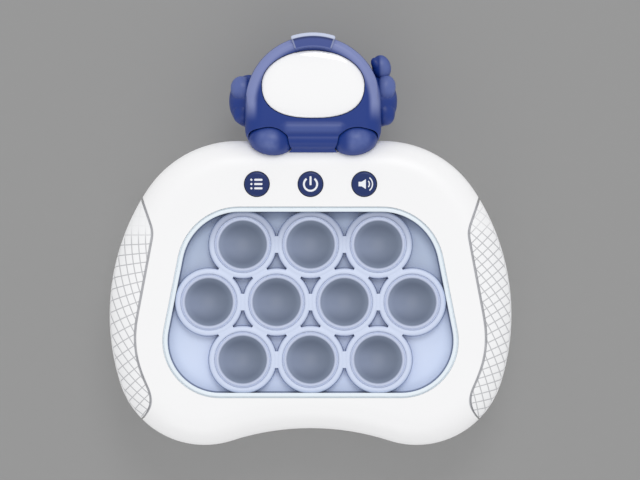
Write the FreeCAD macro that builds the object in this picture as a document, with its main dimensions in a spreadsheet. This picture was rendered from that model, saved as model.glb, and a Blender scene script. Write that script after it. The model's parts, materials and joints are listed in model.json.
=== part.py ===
"""Quick push game: a hand-held bubble console with a space helmet on its top edge.

The console lies on its back.  +Z is the normal of the front face, +Y points to the
helmet and +X to the player's right.  The origin is the middle of the resting face.
All sizes are in millimetres.
"""
import FreeCAD, Part
import math
import os

import Sketcher
from FreeCAD import Placement, Rotation, Vector

# Driving sizes
SIZES = {
    # Casing outline, seen from the front
    "case_width": 170.0,
    "half_height": 87.1,
    "case_top": 41.5,
    "arch_drop": 80.0,
    "shoulder_radius": 46.0,
    "side_radius": 95.5,
    "side_drop": 32.0,
    "lobe_radius": 37.4,
    # Casing depth and walls
    "case_depth": 40.0,
    "front_roll": 12.0,
    "rear_roll": 14.0,
    "parting": 19.0,
    "wall": 2.4,
    "lip_height": 1.6,
    "lip_wall": 1.05,
    "lip_gap": 0.15,
    # Grip skins let into the two sides
    "grip_depth": 1.2,
    "grip_groove": 1.1,
    "grip_seat": 0.1,
    "grip_back": 5.0,
    "grip_top_in": 19.1,
    "grip_top_y": 3.1,
    "grip_belly_in": 9.7,
    "grip_belly_drop": 46.8,
    "grip_heel_in": 20.3,
    "grip_heel_drop": 70.6,
    "grip_crown_rise": 24.0,
    "grip_crown_out": 8.4,
    "grip_heel_fall": 14.0,
    "grip_heel_out": 15.8,
    "grip_top_round": 13.0,
    "grip_belly_round": 44.0,
    "grip_heel_round": 11.5,
    # Window in the front face: a trapezoid with round corners
    "window_top": 13.4,
    "window_drop": 66.8,
    "window_half": 59.45,
    "window_tilt": 11.2,
    "window_top_round": 26.1,
    "window_low_round": 23.9,
    # Bezel round the window
    "bezel_groove": 0.6,
    "bezel_band": 1.6,
    "bezel_flange": 2.0,
    "bezel_flange_depth": 2.0,
    "bezel_round": 0.5,
    "wall_gap": 0.2,
    # Lattice of ten rings
    "lattice_drop": 26.6,
    "pitch": 28.6,
    "row_pitch": 24.3,
    "ring_outer": 14.3,
    "ring_bore": 11.9,
    "ring_height": 4.0,
    "ring_crest_drop": 1.4,
    "ring_round": 0.7,
    "neck_length": 7.0,
    "neck_width": 3.0,
    "neck_drop": 0.3,
    "panel_depth": 2.0,
    "panel_flange": 2.6,
    "panel_gap": 0.1,
    # Bubble keys of clear silicone
    "key_radius": 11.4,
    "key_rim": 1.25,
    "key_drop": 0.6,
    "key_dish": 4.5,
    "key_wall": 1.2,
    "key_flange": 12.6,
    "key_flange_depth": 1.2,
    "key_seat_gap": 0.4,
    "key_nub": 2.2,
    "key_step": 0.2,
    "key_travel": 3.0,
    # Silicone mat round the keys
    "mat_depth": 1.2,
    "mat_hole": 12.95,
    "mat_inset": 3.0,
    # Printed board and what it carries
    "board_depth": 1.6,
    "board_inset": 2.0,
    "board_tab_half": 33.0,
    "board_tab_top": 31.0,
    "pillar_radius": 2.4,
    "pillar_length": 9.1,
    "pillar_row": 8.1,
    "pillar_web": 0.3,
    "switch_side": 6.0,
    "switch_height": 3.4,
    "switch_button": 0.9,
    "switch_button_radius": 1.75,
    "switch_gap": 0.1,
    "led_radius": 1.5,
    "led_height": 2.6,
    "led_offset": 6.2,
    "parts_row": 15.5,
    "parts_height": 1.8,
    "chip_width": 10.0,
    "chip_length": 7.0,
    "amplifier_side": 4.6,
    "amplifier_x": 14.0,
    "can_radius": 2.5,
    "can_x": 24.0,
    # Three round buttons above the window
    "button_radius": 5.2,
    "button_pitch": 22.65,
    "button_row": 23.2,
    "button_gap": 0.3,
    "button_proud": 0.6,
    "button_round": 0.8,
    "button_flange": 6.6,
    "button_flange_depth": 1.6,
    "button_seat_gap": 0.3,
    "button_stem": 2.2,
    "button_travel": 0.8,
    # Screws: small ones hold the board and panel, large ones the casing
    "small_screw": 1.1,
    "small_head": 2.1,
    "small_head_depth": 1.5,
    "small_length": 6.5,
    "large_screw": 1.4,
    "large_head": 2.7,
    "large_head_depth": 1.9,
    "large_length": 16.0,
    "screw_gap": 0.2,
    "boss_radius": 4.2,
    "boss_seat": 9.0,
    "boss_top_x": 50.0,
    "boss_top_inset": 15.5,
    "boss_side_drop": 22.0,
    "boss_side_inset": 12.5,
    "boss_low_x": 54.0,
    "boss_low_inset": 12.1,
    "ear_radius": 3.2,
    "ear_offset": 4.8,
    "ear_top_x": 37.5,
    "ear_high_drop": 8.0,
    "ear_low_drop": 42.0,
    "ear_low_x": 36.0,
    # Battery bay in the back
    "cell_length": 50.5,
    "cell_radius": 7.1,
    "cell_nub": 2.7,
    "cell_nub_height": 1.3,
    "cell_edge": 0.5,
    "cell_pad": 4.3,
    "cell_recess": 0.4,
    "cell_pitch": 15.2,
    "cell_count": 3,
    "cell_gap": 0.2,
    "bay_drop": 41.0,
    "bay_wall": 1.6,
    "contact_depth": 0.5,
    "contact_spring": 4.6,
    "contact_height": 10.0,
    "contact_width": 9.0,
    "contact_margin": 1.0,
    "contact_slack": 0.1,
    "contact_foot": 0.75,
    "cover_depth": 1.6,
    "cover_inset": 0.3,
    "cover_gap": 0.3,
    "cover_lap": 2.6,
    "cover_ear": 9.4,
    "cover_round": 4.0,
    "cover_ledge": 1.7,
    "cover_boss": 1.4,
    "cover_head_sink": 0.2,
    "cover_post_wall": 1.2,
    "foam_depth": 0.6,
    "foam_half": 14.0,
    "foam_margin": 2.0,
    # Loudspeaker behind the upper half
    "speaker_y": 13.0,
    "speaker_radius": 18.0,
    "speaker_rim_depth": 1.2,
    "speaker_gasket": 0.8,
    "speaker_basket_height": 5.0,
    "speaker_magnet_radius": 9.5,
    "speaker_magnet_depth": 3.6,
    "speaker_rib": 1.6,
    "speaker_rib_height": 5.0,
    "speaker_hold": 0.4,
    "gasket_width": 3.0,
    "basket_rim": 2.0,
    "basket_sheet": 1.0,
    "basket_lip": 0.3,
    "basket_hole": 5.5,
    "cone_edge": 2.6,
    "cone_lift": 0.3,
    "cone_sheet": 0.5,
    "cone_rise": 2.2,
    "coil_radius": 5.0,
    "coil_wall": 0.6,
    "coil_gap": 0.6,
    "grille_hole": 0.9,
    "grille_pitch": 4.2,
    # Space helmet on the top edge
    "helmet_x": 1.1,
    "helmet_half": 28.8,
    "helmet_top": 85.9,
    "helmet_base": 37.1,
    "helmet_back": 5.0,
    "helmet_front": 42.0,
    "helmet_front_round": 8.0,
    "helmet_back_round": 11.0,
    "helmet_corner": 13.0,
    "helmet_split": 24.0,
    "helmet_wall": 2.2,
    "helmet_face_wall": 3.4,
    "helmet_floor": 44.0,
    "saddle_gap": 0.15,
    "rim_reach": 25.75,
    "rim_level": 39.9,
    "rim_thick": 2.9,
    "rim_dive_radius": 12.0,
    "rim_dive_angle": 45.0,
    "crest_half": 9.6,
    "crest_rise": 1.2,
    "crest_inner": 23.6,
    "crest_back": 14.0,
    "crest_front": 44.2,
    "crest_round": 0.9,
    "chin_half": 12.0,
    "chin_high_y": 46.6,
    "chin_high_level": 40.2,
    "chin_high_thick": 2.3,
    "chin_middle_y": 41.9,
    "chin_middle_level": 39.6,
    "chin_middle_thick": 1.9,
    "chin_low_y": 38.7,
    "chin_low_level": 37.4,
    "chin_low_thick": 1.6,
    "visor_y": 65.3,
    "visor_half_width": 21.6,
    "visor_half_height": 14.2,
    "visor_gap": 0.3,
    "visor_pocket": 1.6,
    "visor_crown": 1.6,
    "visor_dome": 110.0,
    "arm_x": 27.0,
    "arm_y": 58.4,
    "arm_height": 24.0,
    "arm_thick": 8.7,
    "arm_long": 11.3,
    "cuff_high_x": 30.9,
    "cuff_high_y": 62.8,
    "cuff_high_level": 28.7,
    "cuff_low_x": 29.9,
    "cuff_low_y": 53.5,
    "cuff_low_level": 27.5,
    "cuff_thick": 4.2,
    "cuff_long": 5.0,
    "hand_x": 28.9,
    "hand_y": 72.6,
    "hand_height": 27.0,
    "hand_thick": 3.9,
    "hand_long": 5.2,
    "boot_x": 18.0,
    "boot_y": 41.7,
    "boot_height": 35.5,
    "boot_wide": 9.6,
    "boot_tall": 6.6,
    "helmet_screw_x": 13.0,
    "helmet_screw_height": 12.0,
    "helmet_screw_length": 9.0,
    "helmet_post": 3.4,
    "helmet_post_length": 10.0,
    "helmet_post_root": 4.0,
    "helmet_joint_x": 16.0,
    "helmet_joint_y": 66.0,
    "helmet_joint_seat": 14.0,
    "helmet_joint_length": 15.0,
    # Leads inside the casing
    "lead_radius": 0.6,
    "lead_bend": 4.0,
    "lead_spread": 3.0,
    "lead_drop": 2.0,
    "battery_lead_reach": 8.0,
    "speaker_lead_reach": 7.0,
    "speaker_lead_rise": 1.6,
}


class Size(float):
    """A number that remembers the sheet formula it comes from."""

    def __new__(cls, value, formula):
        size = float.__new__(cls, value)
        size.formula = formula
        return size

    def __add__(self, other):
        return Size(float(self) + float(other), f"({formula_of(self)} + {formula_of(other)})")

    def __sub__(self, other):
        return Size(float(self) - float(other), f"({formula_of(self)} - {formula_of(other)})")

    def __mul__(self, other):
        return Size(float(self) * float(other), f"({formula_of(self)} * {formula_of(other)})")

    def __truediv__(self, other):
        return Size(float(self) / float(other), f"({formula_of(self)} / {formula_of(other)})")

    def __radd__(self, other):
        return number(other) + self

    def __rsub__(self, other):
        return number(other) - self

    def __rmul__(self, other):
        return number(other) * self

    def __rtruediv__(self, other):
        return number(other) / self

    def __neg__(self):
        return Size(-float(self), f"(0 - {self.formula})")


def number(value):
    return value if isinstance(value, Size) else Size(value, f"{float(value):.9g}")


def formula_of(value):
    return number(value).formula


def root(value):
    return Size(math.sqrt(value), f"sqrt({formula_of(value)})")


def tangent(angle):
    return Size(math.tan(math.radians(angle)), f"tan({formula_of(angle)} * 1 deg)")


def cosine(angle):
    return Size(math.cos(math.radians(angle)), f"cos({formula_of(angle)} * 1 deg)")


doc = FreeCAD.newDocument("push_game")
sheet = doc.addObject("Spreadsheet::Sheet", "Sizes")
for row, (alias, value) in enumerate(SIZES.items(), start=1):
    sheet.set(f"A{row}", alias)
    sheet.set(f"B{row}", str(value))
    sheet.setAlias(f"B{row}", alias)
doc.recompute()


class Sheet:
    """The sheet's cells, each read back as a Size under its own name."""

    def __getattr__(self, alias):
        return Size(float(sheet.get(alias)), f"Sizes.{alias}")


s = Sheet()
kept = []


quarter_turn = 90


# Document helpers
def bind(thing, path, value):
    """Give a property its number, and the sheet formula behind it where there is one."""
    if isinstance(value, Size):
        thing.setExpression(path, value.formula)
    elif "." not in path:
        setattr(thing, path, value)


def place(thing, at=(0, 0, 0), turn=None):
    rotation = Rotation(Vector(*turn[0]), turn[1]) if turn else Rotation()
    thing.Placement = Placement(Vector(*[float(value) for value in at]), rotation)
    for letter, value in zip("xyz", at):
        bind(thing, f"Placement.Base.{letter}", value)
    return thing


def keep(thing, node):
    """Name a finished sub-part: its label is the name of its file."""
    thing.Label = node
    kept.append(thing)
    return thing


def box(name, low, high):
    """A block between two corners."""
    block = doc.addObject("Part::Box", name)
    for side, start, end in zip(("Length", "Width", "Height"), low, high):
        bind(block, side, number(end) - start)
    return place(block, low)


def cylinder(name, radius, height, at, turn=None):
    rod = doc.addObject("Part::Cylinder", name)
    bind(rod, "Radius", number(radius))
    bind(rod, "Height", number(height))
    return place(rod, at, turn)


def fuse(name, pieces):
    union = doc.addObject("Part::MultiFuse", name)
    union.Shapes = pieces
    return union


def group(name, pieces):
    """Separate solids under one name."""
    union = doc.addObject("Part::Compound", name)
    union.Links = pieces
    return union


def cut(name, base, tools):
    rest = doc.addObject("Part::Cut", name)
    rest.Base = base
    rest.Tool = tools[0] if len(tools) == 1 else fuse(name + "_tools", tools)
    return rest


def common(name, pieces):
    shared = doc.addObject("Part::MultiCommon", name)
    shared.Shapes = pieces
    return shared


# Body helpers
def new_body(name):
    return doc.addObject("PartDesign::Body", name)


def origin_plane(body, role):
    return next(plane for plane in body.Origin.OriginFeatures if plane.Role == role)


def new_sketch(body, role="XY_Plane", height=0.0):
    sketch = body.newObject("Sketcher::SketchObject", body.Name + "_sketch")
    sketch.AttachmentSupport = [(origin_plane(body, role), "")]
    sketch.MapMode = "FlatFace"
    sketch.AttachmentOffset = Placement(Vector(0, 0, float(height)), Rotation())
    bind(sketch, "AttachmentOffset.Base.z", number(height))
    return sketch


def fix(sketch, kind, value, edge, end):
    """Hold one coordinate of an edge's end at a value from the sheet."""
    index = sketch.addConstraint(Sketcher.Constraint(kind, -1, 1, edge, end, float(value)))
    bind(sketch, f"Constraints[{index}]", number(value))


def fix_radius(sketch, edge, value):
    index = sketch.addConstraint(Sketcher.Constraint("Radius", edge, float(value)))
    bind(sketch, f"Constraints[{index}]", number(value))


def arc_between(start, end, radius, turn):
    """The arc of a radius from start to end, bulging left (turn 1) or right (turn -1)."""
    first = Vector(float(start[0]), float(start[1]), 0)
    last = Vector(float(end[0]), float(end[1]), 0)
    chord = last - first
    rise = math.sqrt(max(radius ** 2 - (chord.Length / 2) ** 2, 0))
    left = Vector(-chord.y, chord.x, 0).normalize()
    centre = (first + last) * 0.5 - left * (turn * rise)
    crown = centre + left * (turn * float(radius))
    return Part.Arc(first, crown, last) if turn < 0 else Part.Arc(last, crown, first)


def draw(sketch, corners, arcs=None):
    """A closed profile through corners; arcs gives (radius, turn) for the edge after a corner."""
    arcs = arcs or {}
    count = len(corners)
    starts = []
    for index, corner in enumerate(corners):
        after = corners[(index + 1) % count]
        start = Vector(float(corner[0]), float(corner[1]), 0)
        end = Vector(float(after[0]), float(after[1]), 0)
        if index in arcs:
            radius, turn = arcs[index]
            curve = arc_between(corner, after, radius, turn)
            edge = sketch.addGeometry(curve)
            placed = sketch.Geometry[edge].StartPoint
            starts.append((1, 2) if placed.distanceToPoint(start) < 1e-6 else (2, 1))
        else:
            sketch.addGeometry(Part.LineSegment(start, end))
            starts.append((1, 2))
    for index in range(count):
        after = (index + 1) % count
        sketch.addConstraint(
            Sketcher.Constraint("Coincident", index, starts[index][1], after, starts[after][0]))
    for index, corner in enumerate(corners):
        fix(sketch, "DistanceX", corner[0], index, starts[index][0])
        fix(sketch, "DistanceY", corner[1], index, starts[index][0])
    for index, (radius, _) in arcs.items():
        start = corners[index]
        end = corners[(index + 1) % count]
        span = math.hypot(end[0] - start[0], end[1] - start[1])
        if span > 1.999 * radius:
            fix(sketch, "DistanceY", (number(start[1]) + end[1]) / 2, index, 3)
        else:
            fix_radius(sketch, index, radius)


def pad(body, sketch, length):
    feature = body.newObject("PartDesign::Pad", body.Name + "_pad")
    feature.Profile = sketch
    bind(feature, "Length", number(length))
    return feature


def round_edges(body, feature, wanted, radius):
    """Fillet the edges of a feature that pass a test."""
    doc.recompute()
    names = [f"Edge{index}" for index, edge in enumerate(feature.Shape.Edges, start=1) if wanted(edge)]
    fillet = body.newObject("PartDesign::Fillet", body.Name + "_round")
    fillet.Base = (feature, names)
    bind(fillet, "Radius", number(radius))
    return fillet


def level(height):
    """Edges that lie all along in one level."""
    def wanted(edge):
        bounds = edge.BoundBox
        return abs(bounds.ZMin - height) < 1e-4 and abs(bounds.ZMax - height) < 1e-4
    return wanted


def upright(near):
    """Upright edges whose foot passes a test on x and y."""
    def wanted(edge):
        foot = edge.Vertexes[0].Point
        return edge.BoundBox.ZLength > 1e-3 and edge.BoundBox.XLength < 1e-3 and near(foot.x, foot.y)
    return wanted


def revolved(name, corners, arcs=None, at=(0, 0, 0), turn=None):
    """A body turned round its own Z axis from a profile of (radius, height) corners."""
    body = new_body(name)
    sketch = new_sketch(body, "XZ_Plane")
    draw(sketch, corners, arcs)
    spin = body.newObject("PartDesign::Revolution", name + "_turned")
    spin.Profile = sketch
    spin.ReferenceAxis = (sketch, ["V_Axis"])
    spin.Angle = 360
    return place(body, at, turn)


def plate(name, low, high, corner):
    """A flat block between two corners, with its four upright edges rounded."""
    body = new_body(name)
    sketch = new_sketch(body, "XY_Plane", low[2])
    draw(sketch, [(low[0], low[1]), (high[0], low[1]), (high[0], high[1]), (low[0], high[1])])
    round_edges(body, pad(body, sketch, number(high[2]) - low[2]), upright(lambda x, y: True), corner)
    return body


def egg(name, along, across, at, turn):
    """A round lump: end caps and a belly of tangent arcs turned round the lump's own axis."""
    fullness = 1.15
    if along > across:
        cap = fullness * across * across / along
        belly = (across * across + along * along - 2 * along * cap) / (2 * (across - cap))
    else:
        belly = fullness * along * along / across
        cap = (along * along + across * across - 2 * across * belly) / (2 * (along - belly))
    share = belly / (belly - cap)
    join_x = across - belly + share * (belly - across)
    join_y = share * (along - cap)
    return revolved(name, [
        (0, -along),
        (join_x, -join_y),
        (join_x, join_y),
        (0, along),
    ], {0: (cap, -1), 1: (belly, -1), 2: (cap, -1)}, at=at, turn=turn)


def roller(name, half, radius, at):
    """A bar along X with domed ends."""
    return revolved(name, [
        (0, -half - radius),
        (radius, -half),
        (radius, half),
        (0, half + radius),
    ], {0: (radius, -1), 2: (radius, -1)}, at=at, turn=((0, 1, 0), quarter_turn))


def rod_along(name, edges, radius):
    """A round rod along a path of tangent edges."""
    first = edges[0]
    ring = Part.Circle(first.valueAt(first.FirstParameter), first.tangentAt(first.FirstParameter), radius)
    rod = doc.addObject("Part::Feature", name)
    rod.Shape = Part.Wire(edges).makePipeShell([Part.Wire(ring.toShape())], True, False)
    return rod


# Cutting tools run a little past the faces they cut, or well clear of the whole casing
over = 1.0
reach = s.case_width


# Outlines that several pieces share
def casing_form(name, inset, low, high, front_roll=0, rear_roll=0):
    """The casing's plan, drawn inset from the outside, between two levels."""
    shoulder = s.shoulder_radius - inset
    side = s.side_radius - inset
    lobe = s.lobe_radius - inset
    top = s.case_top - inset
    side_x = s.case_width / 2 - s.side_radius
    side_y = -s.side_drop
    shoulder_y = s.case_top - s.shoulder_radius
    lobe_y = s.lobe_radius - s.half_height
    shoulder_reach = s.side_radius - s.shoulder_radius
    lobe_reach = s.side_radius - s.lobe_radius
    shoulder_x = side_x + math.sqrt(shoulder_reach ** 2 - (shoulder_y - side_y) ** 2)
    lobe_x = side_x + math.sqrt(lobe_reach ** 2 - (lobe_y - side_y) ** 2)
    rise = lobe_y + s.arch_drop
    arch = (lobe_x ** 2 + rise ** 2 - s.lobe_radius ** 2) / (2 * (s.lobe_radius - rise)) + inset
    arch_top = inset - s.arch_drop
    arch_y = arch_top - arch
    shoulder_turn = math.atan2(shoulder_y - side_y, shoulder_x - side_x)
    lobe_turn = math.atan2(lobe_y - side_y, lobe_x - side_x)
    heel_turn = math.atan2(arch_y - lobe_y, -lobe_x)
    arch_turn = math.atan2(lobe_y - arch_y, lobe_x)

    body = new_body(name)
    sketch = new_sketch(body, "XY_Plane", low)

    def arc(x, y, radius, start, end):
        circle = Part.Circle(Vector(float(x), float(y), 0), Vector(0, 0, 1), float(radius))
        return sketch.addGeometry(Part.ArcOfCircle(circle, start, end))

    middle = sketch.addGeometry(Part.LineSegment(Vector(0, float(arch_top), 0), Vector(0, float(top), 0)))
    brow = sketch.addGeometry(
        Part.LineSegment(Vector(0, float(top), 0), Vector(float(shoulder_x), float(top), 0)))
    shoulder_arc = arc(shoulder_x, shoulder_y, shoulder, shoulder_turn, math.pi / 2)
    side_arc = arc(side_x, side_y, side, lobe_turn, shoulder_turn)
    lobe_arc = arc(lobe_x, lobe_y, lobe, heel_turn, lobe_turn)
    arch_arc = arc(0, arch_y, arch, arch_turn, math.pi / 2)
    for link in (
        ("Coincident", middle, 2, brow, 1),
        ("Coincident", middle, 1, arch_arc, 2),
        ("Tangent", brow, 2, shoulder_arc, 2),
        ("Tangent", shoulder_arc, 1, side_arc, 2),
        ("Tangent", side_arc, 1, lobe_arc, 2),
        ("Tangent", lobe_arc, 1, arch_arc, 1),
        ("PointOnObject", middle, 1, -2),
        ("PointOnObject", middle, 2, -2),
        ("PointOnObject", arch_arc, 3, -2),
        ("Horizontal", brow),
    ):
        sketch.addConstraint(Sketcher.Constraint(*link))
    fix(sketch, "DistanceY", top, middle, 2)
    fix(sketch, "DistanceY", arch_top, middle, 1)
    fix(sketch, "DistanceX", side_x, side_arc, 3)
    fix(sketch, "DistanceY", side_y, side_arc, 3)
    fix(sketch, "DistanceY", lobe_y, lobe_arc, 3)
    fix_radius(sketch, shoulder_arc, shoulder)
    fix_radius(sketch, side_arc, side)
    fix_radius(sketch, lobe_arc, lobe)

    half = pad(body, sketch, number(high) - low)
    whole = body.newObject("PartDesign::Mirrored", name + "_mirrored")
    whole.Originals = [half]
    whole.MirrorPlane = (origin_plane(body, "YZ_Plane"), [""])
    whole.Refine = True
    body.Tip = whole
    last = whole
    if front_roll:
        last = round_edges(body, last, level(high), front_roll)
    if rear_roll:
        last = round_edges(body, last, level(low), rear_roll)
    return body


def window_form(name, inset, low, high):
    """The window's trapezoid, drawn inset from its groove, between two levels."""
    top = s.window_top - inset
    bottom = inset - s.window_drop
    lean = tangent(s.window_tilt)
    side = s.window_half - s.lattice_drop * lean - inset / cosine(s.window_tilt)
    top_x = side - top * lean
    low_x = side - bottom * lean
    body = new_body(name)
    sketch = new_sketch(body, "XY_Plane", low)
    draw(sketch, [(-low_x, bottom), (low_x, bottom), (top_x, top), (-top_x, top)])
    block = pad(body, sketch, number(high) - low)
    upper = round_edges(body, block, upright(lambda x, y: y > 0), s.window_top_round - inset)
    round_edges(body, upper, upright(lambda x, y: y < 0 and abs(abs(x) - low_x) < 0.01),
                s.window_low_round - inset)
    return body


def grip_form(name, side, inset, low, high):
    """The plan of one grip, wider than the casing on its outer side."""
    case_side = s.case_width / 2
    outside = case_side + over
    top_x = case_side - s.grip_top_in + inset
    belly_x = case_side - s.grip_belly_in + inset
    heel_x = case_side - s.grip_heel_in + inset
    crown = s.grip_top_y + s.grip_crown_rise
    foot = -s.grip_heel_drop - s.grip_heel_fall
    corners = [
        (top_x, s.grip_top_y),
        (belly_x, -s.grip_belly_drop),
        (heel_x, -s.grip_heel_drop),
        (heel_x + s.grip_heel_out, foot),
        (outside, foot),
        (outside, crown),
        (top_x + s.grip_crown_out, crown),
    ]
    body = new_body(name)
    sketch = new_sketch(body, "XY_Plane", low)
    draw(sketch, [(side * x, y) for x, y in corners])
    last = pad(body, sketch, number(high) - low)
    rounds = (
        (s.grip_top_y, s.grip_top_round - inset),
        (-s.grip_belly_drop, s.grip_belly_round + inset),
        (-s.grip_heel_drop, s.grip_heel_round - inset),
    )
    for height, radius in rounds:
        last = round_edges(body, last, upright(lambda x, y: abs(y - height) < 0.01), radius)
    return body


def helmet_form(name, grow, low, high, front_round, back_round):
    """The helmet's plan: a round dome on straight cheeks, grown outwards by a step."""
    half = s.helmet_half + grow
    base = s.helmet_base - grow
    body = new_body(name)
    sketch = new_sketch(body, "XY_Plane", low)
    draw(sketch,
         [(-half, dome_y), (-half, base), (half, base), (half, dome_y)],
         {3: (half, -1)})
    last = pad(body, sketch, number(high) - low)
    last = round_edges(body, last, upright(lambda x, y: abs(y - base) < 0.01), s.helmet_corner + grow)
    last = round_edges(body, last, level(high), front_round)
    round_edges(body, last, level(low), back_round)
    return place(body, (s.helmet_x, 0, 0))


# Levels and places that pieces share
face = s.case_depth
under_face = face - s.wall
panel_top = face - s.ring_height - s.ring_crest_drop
panel_low = panel_top - s.panel_depth
ring_top = face - s.ring_crest_drop
board_top = panel_low - s.pillar_length
board_low = board_top - s.board_depth
switch_top = board_top + s.switch_height + s.switch_button
key_top = ring_top - s.key_drop
nub_low = switch_top + s.key_travel + s.switch_gap
flange_top = panel_low - s.key_seat_gap
flange_low = flange_top - s.key_flange_depth
bay_floor = s.cover_inset + s.cover_depth + s.foam_depth
bay_top = bay_floor + 2 * s.cell_radius + s.cell_gap
bay_half_x = s.cell_length / 2 + s.contact_spring / 2 + s.contact_depth
bay_half_y = s.cell_pitch * s.cell_count / 2 + s.cell_gap
bay_y = -s.bay_drop
lattice_y = -s.lattice_drop
dome_y = s.helmet_top - s.helmet_half
cover_top = s.cover_inset + s.cover_depth - s.screw_gap / 2
cover_screw_seat = s.cover_inset + s.cover_head_sink + s.small_head_depth

bubbles = []
for line, count in ((1, 3), (0, 4), (-1, 3)):
    for index in range(count):
        bubbles.append(((index - (count - 1) / 2) * s.pitch, lattice_y + line * s.row_pitch))

pillars = [(side * s.pitch, lattice_y + line * s.pillar_row) for line in (1, -1) for side in (-1, 1)]


def beside_window(drop):
    """A screw's place beside the window, at a drop below the origin."""
    half = s.window_half - (s.lattice_drop - drop) * tangent(s.window_tilt)
    return half + s.ear_offset / cosine(s.window_tilt), -drop


def both_sides(spots):
    return [(side * x, y) for x, y in spots for side in (1, -1)]


ears = both_sides([
    (s.ear_top_x, s.window_top + s.ear_offset),
    beside_window(s.ear_high_drop),
    beside_window(s.ear_low_drop),
    (s.ear_low_x, -s.window_drop - s.ear_offset),
])
casing_bosses = both_sides([
    (s.boss_top_x, s.case_top - s.boss_top_inset),
    (s.case_width / 2 - s.boss_side_inset, -s.boss_side_drop),
    (s.boss_low_x, s.boss_low_inset - s.half_height),
])

buttons = [(-s.button_pitch, s.button_row), (0.0, s.button_row), (s.button_pitch, s.button_row)]


def rods(name, radius, low, high, spots):
    return [cylinder(f"{name}_{index}", radius, number(high) - low, (x, y, low))
            for index, (x, y) in enumerate(spots, start=1)]


def screw(name, radius, head, head_depth, length, at, turn=None):
    """A pan-head screw whose head sits below its own origin and whose shank points up."""
    crown = 0.7 * head
    shoulder = 0.55 * head_depth
    tip = 0.3 * radius
    return revolved(name, [
        (0, -head_depth),
        (crown, -head_depth),
        (head, -shoulder),
        (head, 0),
        (radius, 0),
        (radius, length - radius),
        (tip, length),
        (0, length),
    ], at=at, turn=turn)


def small_screws(node, spots, seat, length):
    return keep(group(node, [
        screw(f"{node}_{index}", s.small_screw, s.small_head, s.small_head_depth, length, (x, y, seat))
        for index, (x, y) in enumerate(spots, start=1)]), node)


# Casing
outer = casing_form("casing_outer", 0.0, 0.0, face, s.front_roll, s.rear_roll)
core = casing_form("casing_core", s.wall, s.wall, under_face, s.front_roll - s.wall, s.rear_roll - s.wall)
grip_bed = casing_form("grip_bed", s.grip_depth + s.grip_seat, s.grip_depth + s.grip_seat,
                       face - s.grip_depth - s.grip_seat,
                       s.front_roll - s.grip_depth - s.grip_seat, s.rear_roll - s.grip_depth - s.grip_seat)
grip_back = casing_form("grip_back", s.grip_depth, s.grip_depth, face - s.grip_depth,
                        s.front_roll - s.grip_depth, s.rear_roll - s.grip_depth)
lip_low = s.parting - s.lip_height
lip_plan = casing_form("lip_plan", s.wall - s.lip_wall, lip_low, s.parting + s.lip_height)
lip_slot_plan = casing_form("lip_slot_plan", s.wall - s.lip_wall - s.lip_gap, s.parting - over,
                            s.parting + s.lip_height + s.lip_gap)
lip_bore = casing_form("lip_bore", s.wall, lip_low - over, s.parting + s.lip_height + over)
lip = cut("lip", lip_plan, [lip_bore])
lip_slot = cut("lip_slot", lip_slot_plan, [lip_bore])

upper_half = box("upper_half", (-reach, -reach, s.parting), (reach, reach, face + over))
lower_half = box("lower_half", (-reach, -reach, -over), (reach, reach, s.parting))

grip_beds = []
for side, hand in ((-1, "left"), (1, "right")):
    bed = grip_form(f"{hand}_grip_bed", side, 0.0, s.grip_back - s.grip_groove, face + over)
    grip_beds.append(bed)
    plan = grip_form(f"{hand}_grip_plan", side, s.grip_groove, s.grip_back, face + over)
    skin = common(f"{hand}_grip_skin", [outer, plan])
    keep(cut(f"{hand}_grip_piece", skin, [grip_back]), f"{hand}_grip")
grip_recess = cut("grip_recess", fuse("grip_recess_plan", grip_beds), [grip_bed])

# Front shell
front_bosses = rods("front_boss", s.boss_radius, s.parting - over, face, casing_bosses)
ear_posts = rods("ear_post", s.ear_radius, panel_top, face, ears)
front_room = cut("front_room", core, front_bosses + ear_posts)
window_hole = window_form("window_hole", -s.bezel_groove / 2, under_face - over, face + over)
button_holes = rods("button_hole", s.button_radius + s.button_gap, under_face - over, face + over, buttons)
boss_bores = rods("boss_bore", s.large_screw, s.parting - over,
                  s.boss_seat + s.large_length + s.screw_gap, casing_bosses)
ear_bores = rods("ear_bore", s.small_screw, panel_top - over,
                 panel_low + s.small_length + s.screw_gap, ears)
front_solid = common("front_solid", [outer, upper_half])
front_hollow = cut("front_hollow", front_solid, [front_room])
front_open = cut("front_open", front_hollow, [window_hole, lip_slot, grip_recess] + button_holes)
front_shell = cut("front_shell_piece", front_open, boss_bores + ear_bores)
keep(front_shell, "front_shell")

# Rear shell with its battery bay, speaker rib and screw tubes
tubes = rods("tube", s.boss_radius, 0.0, s.parting + over, casing_bosses)
bay_block = box("bay_block",
                (-bay_half_x - s.bay_wall, bay_y - bay_half_y - s.bay_wall, 0.0),
                (bay_half_x + s.bay_wall, bay_y + bay_half_y + s.bay_wall, bay_top + s.bay_wall))
cover_half_x = bay_half_x + s.cover_ear
cover_half_y = bay_half_y + s.cover_lap
ledge_top = s.cover_inset + s.cover_depth + s.cover_ledge
ledge_block = box("ledge_block",
                  (-cover_half_x - s.wall, bay_y - cover_half_y - s.wall, 0.0),
                  (cover_half_x + s.wall, bay_y + cover_half_y + s.wall, ledge_top))
cover_spots = [(-bay_half_x - s.cover_ear / 2, bay_y), (bay_half_x + s.cover_ear / 2, bay_y)]
cover_posts = rods("cover_post", s.ear_radius + s.cover_gap + s.cover_post_wall, 0.0,
                   ledge_top + s.small_length, cover_spots)
speaker_low = s.wall + s.speaker_gasket
rib_outer = cylinder("rib_outer", s.speaker_radius + s.screw_gap + s.speaker_rib,
                     s.wall + s.speaker_rib_height, (0, s.speaker_y, 0))
rib_inner = cylinder("rib_inner", s.speaker_radius + s.screw_gap, s.parting, (0, s.speaker_y, s.wall))
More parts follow.
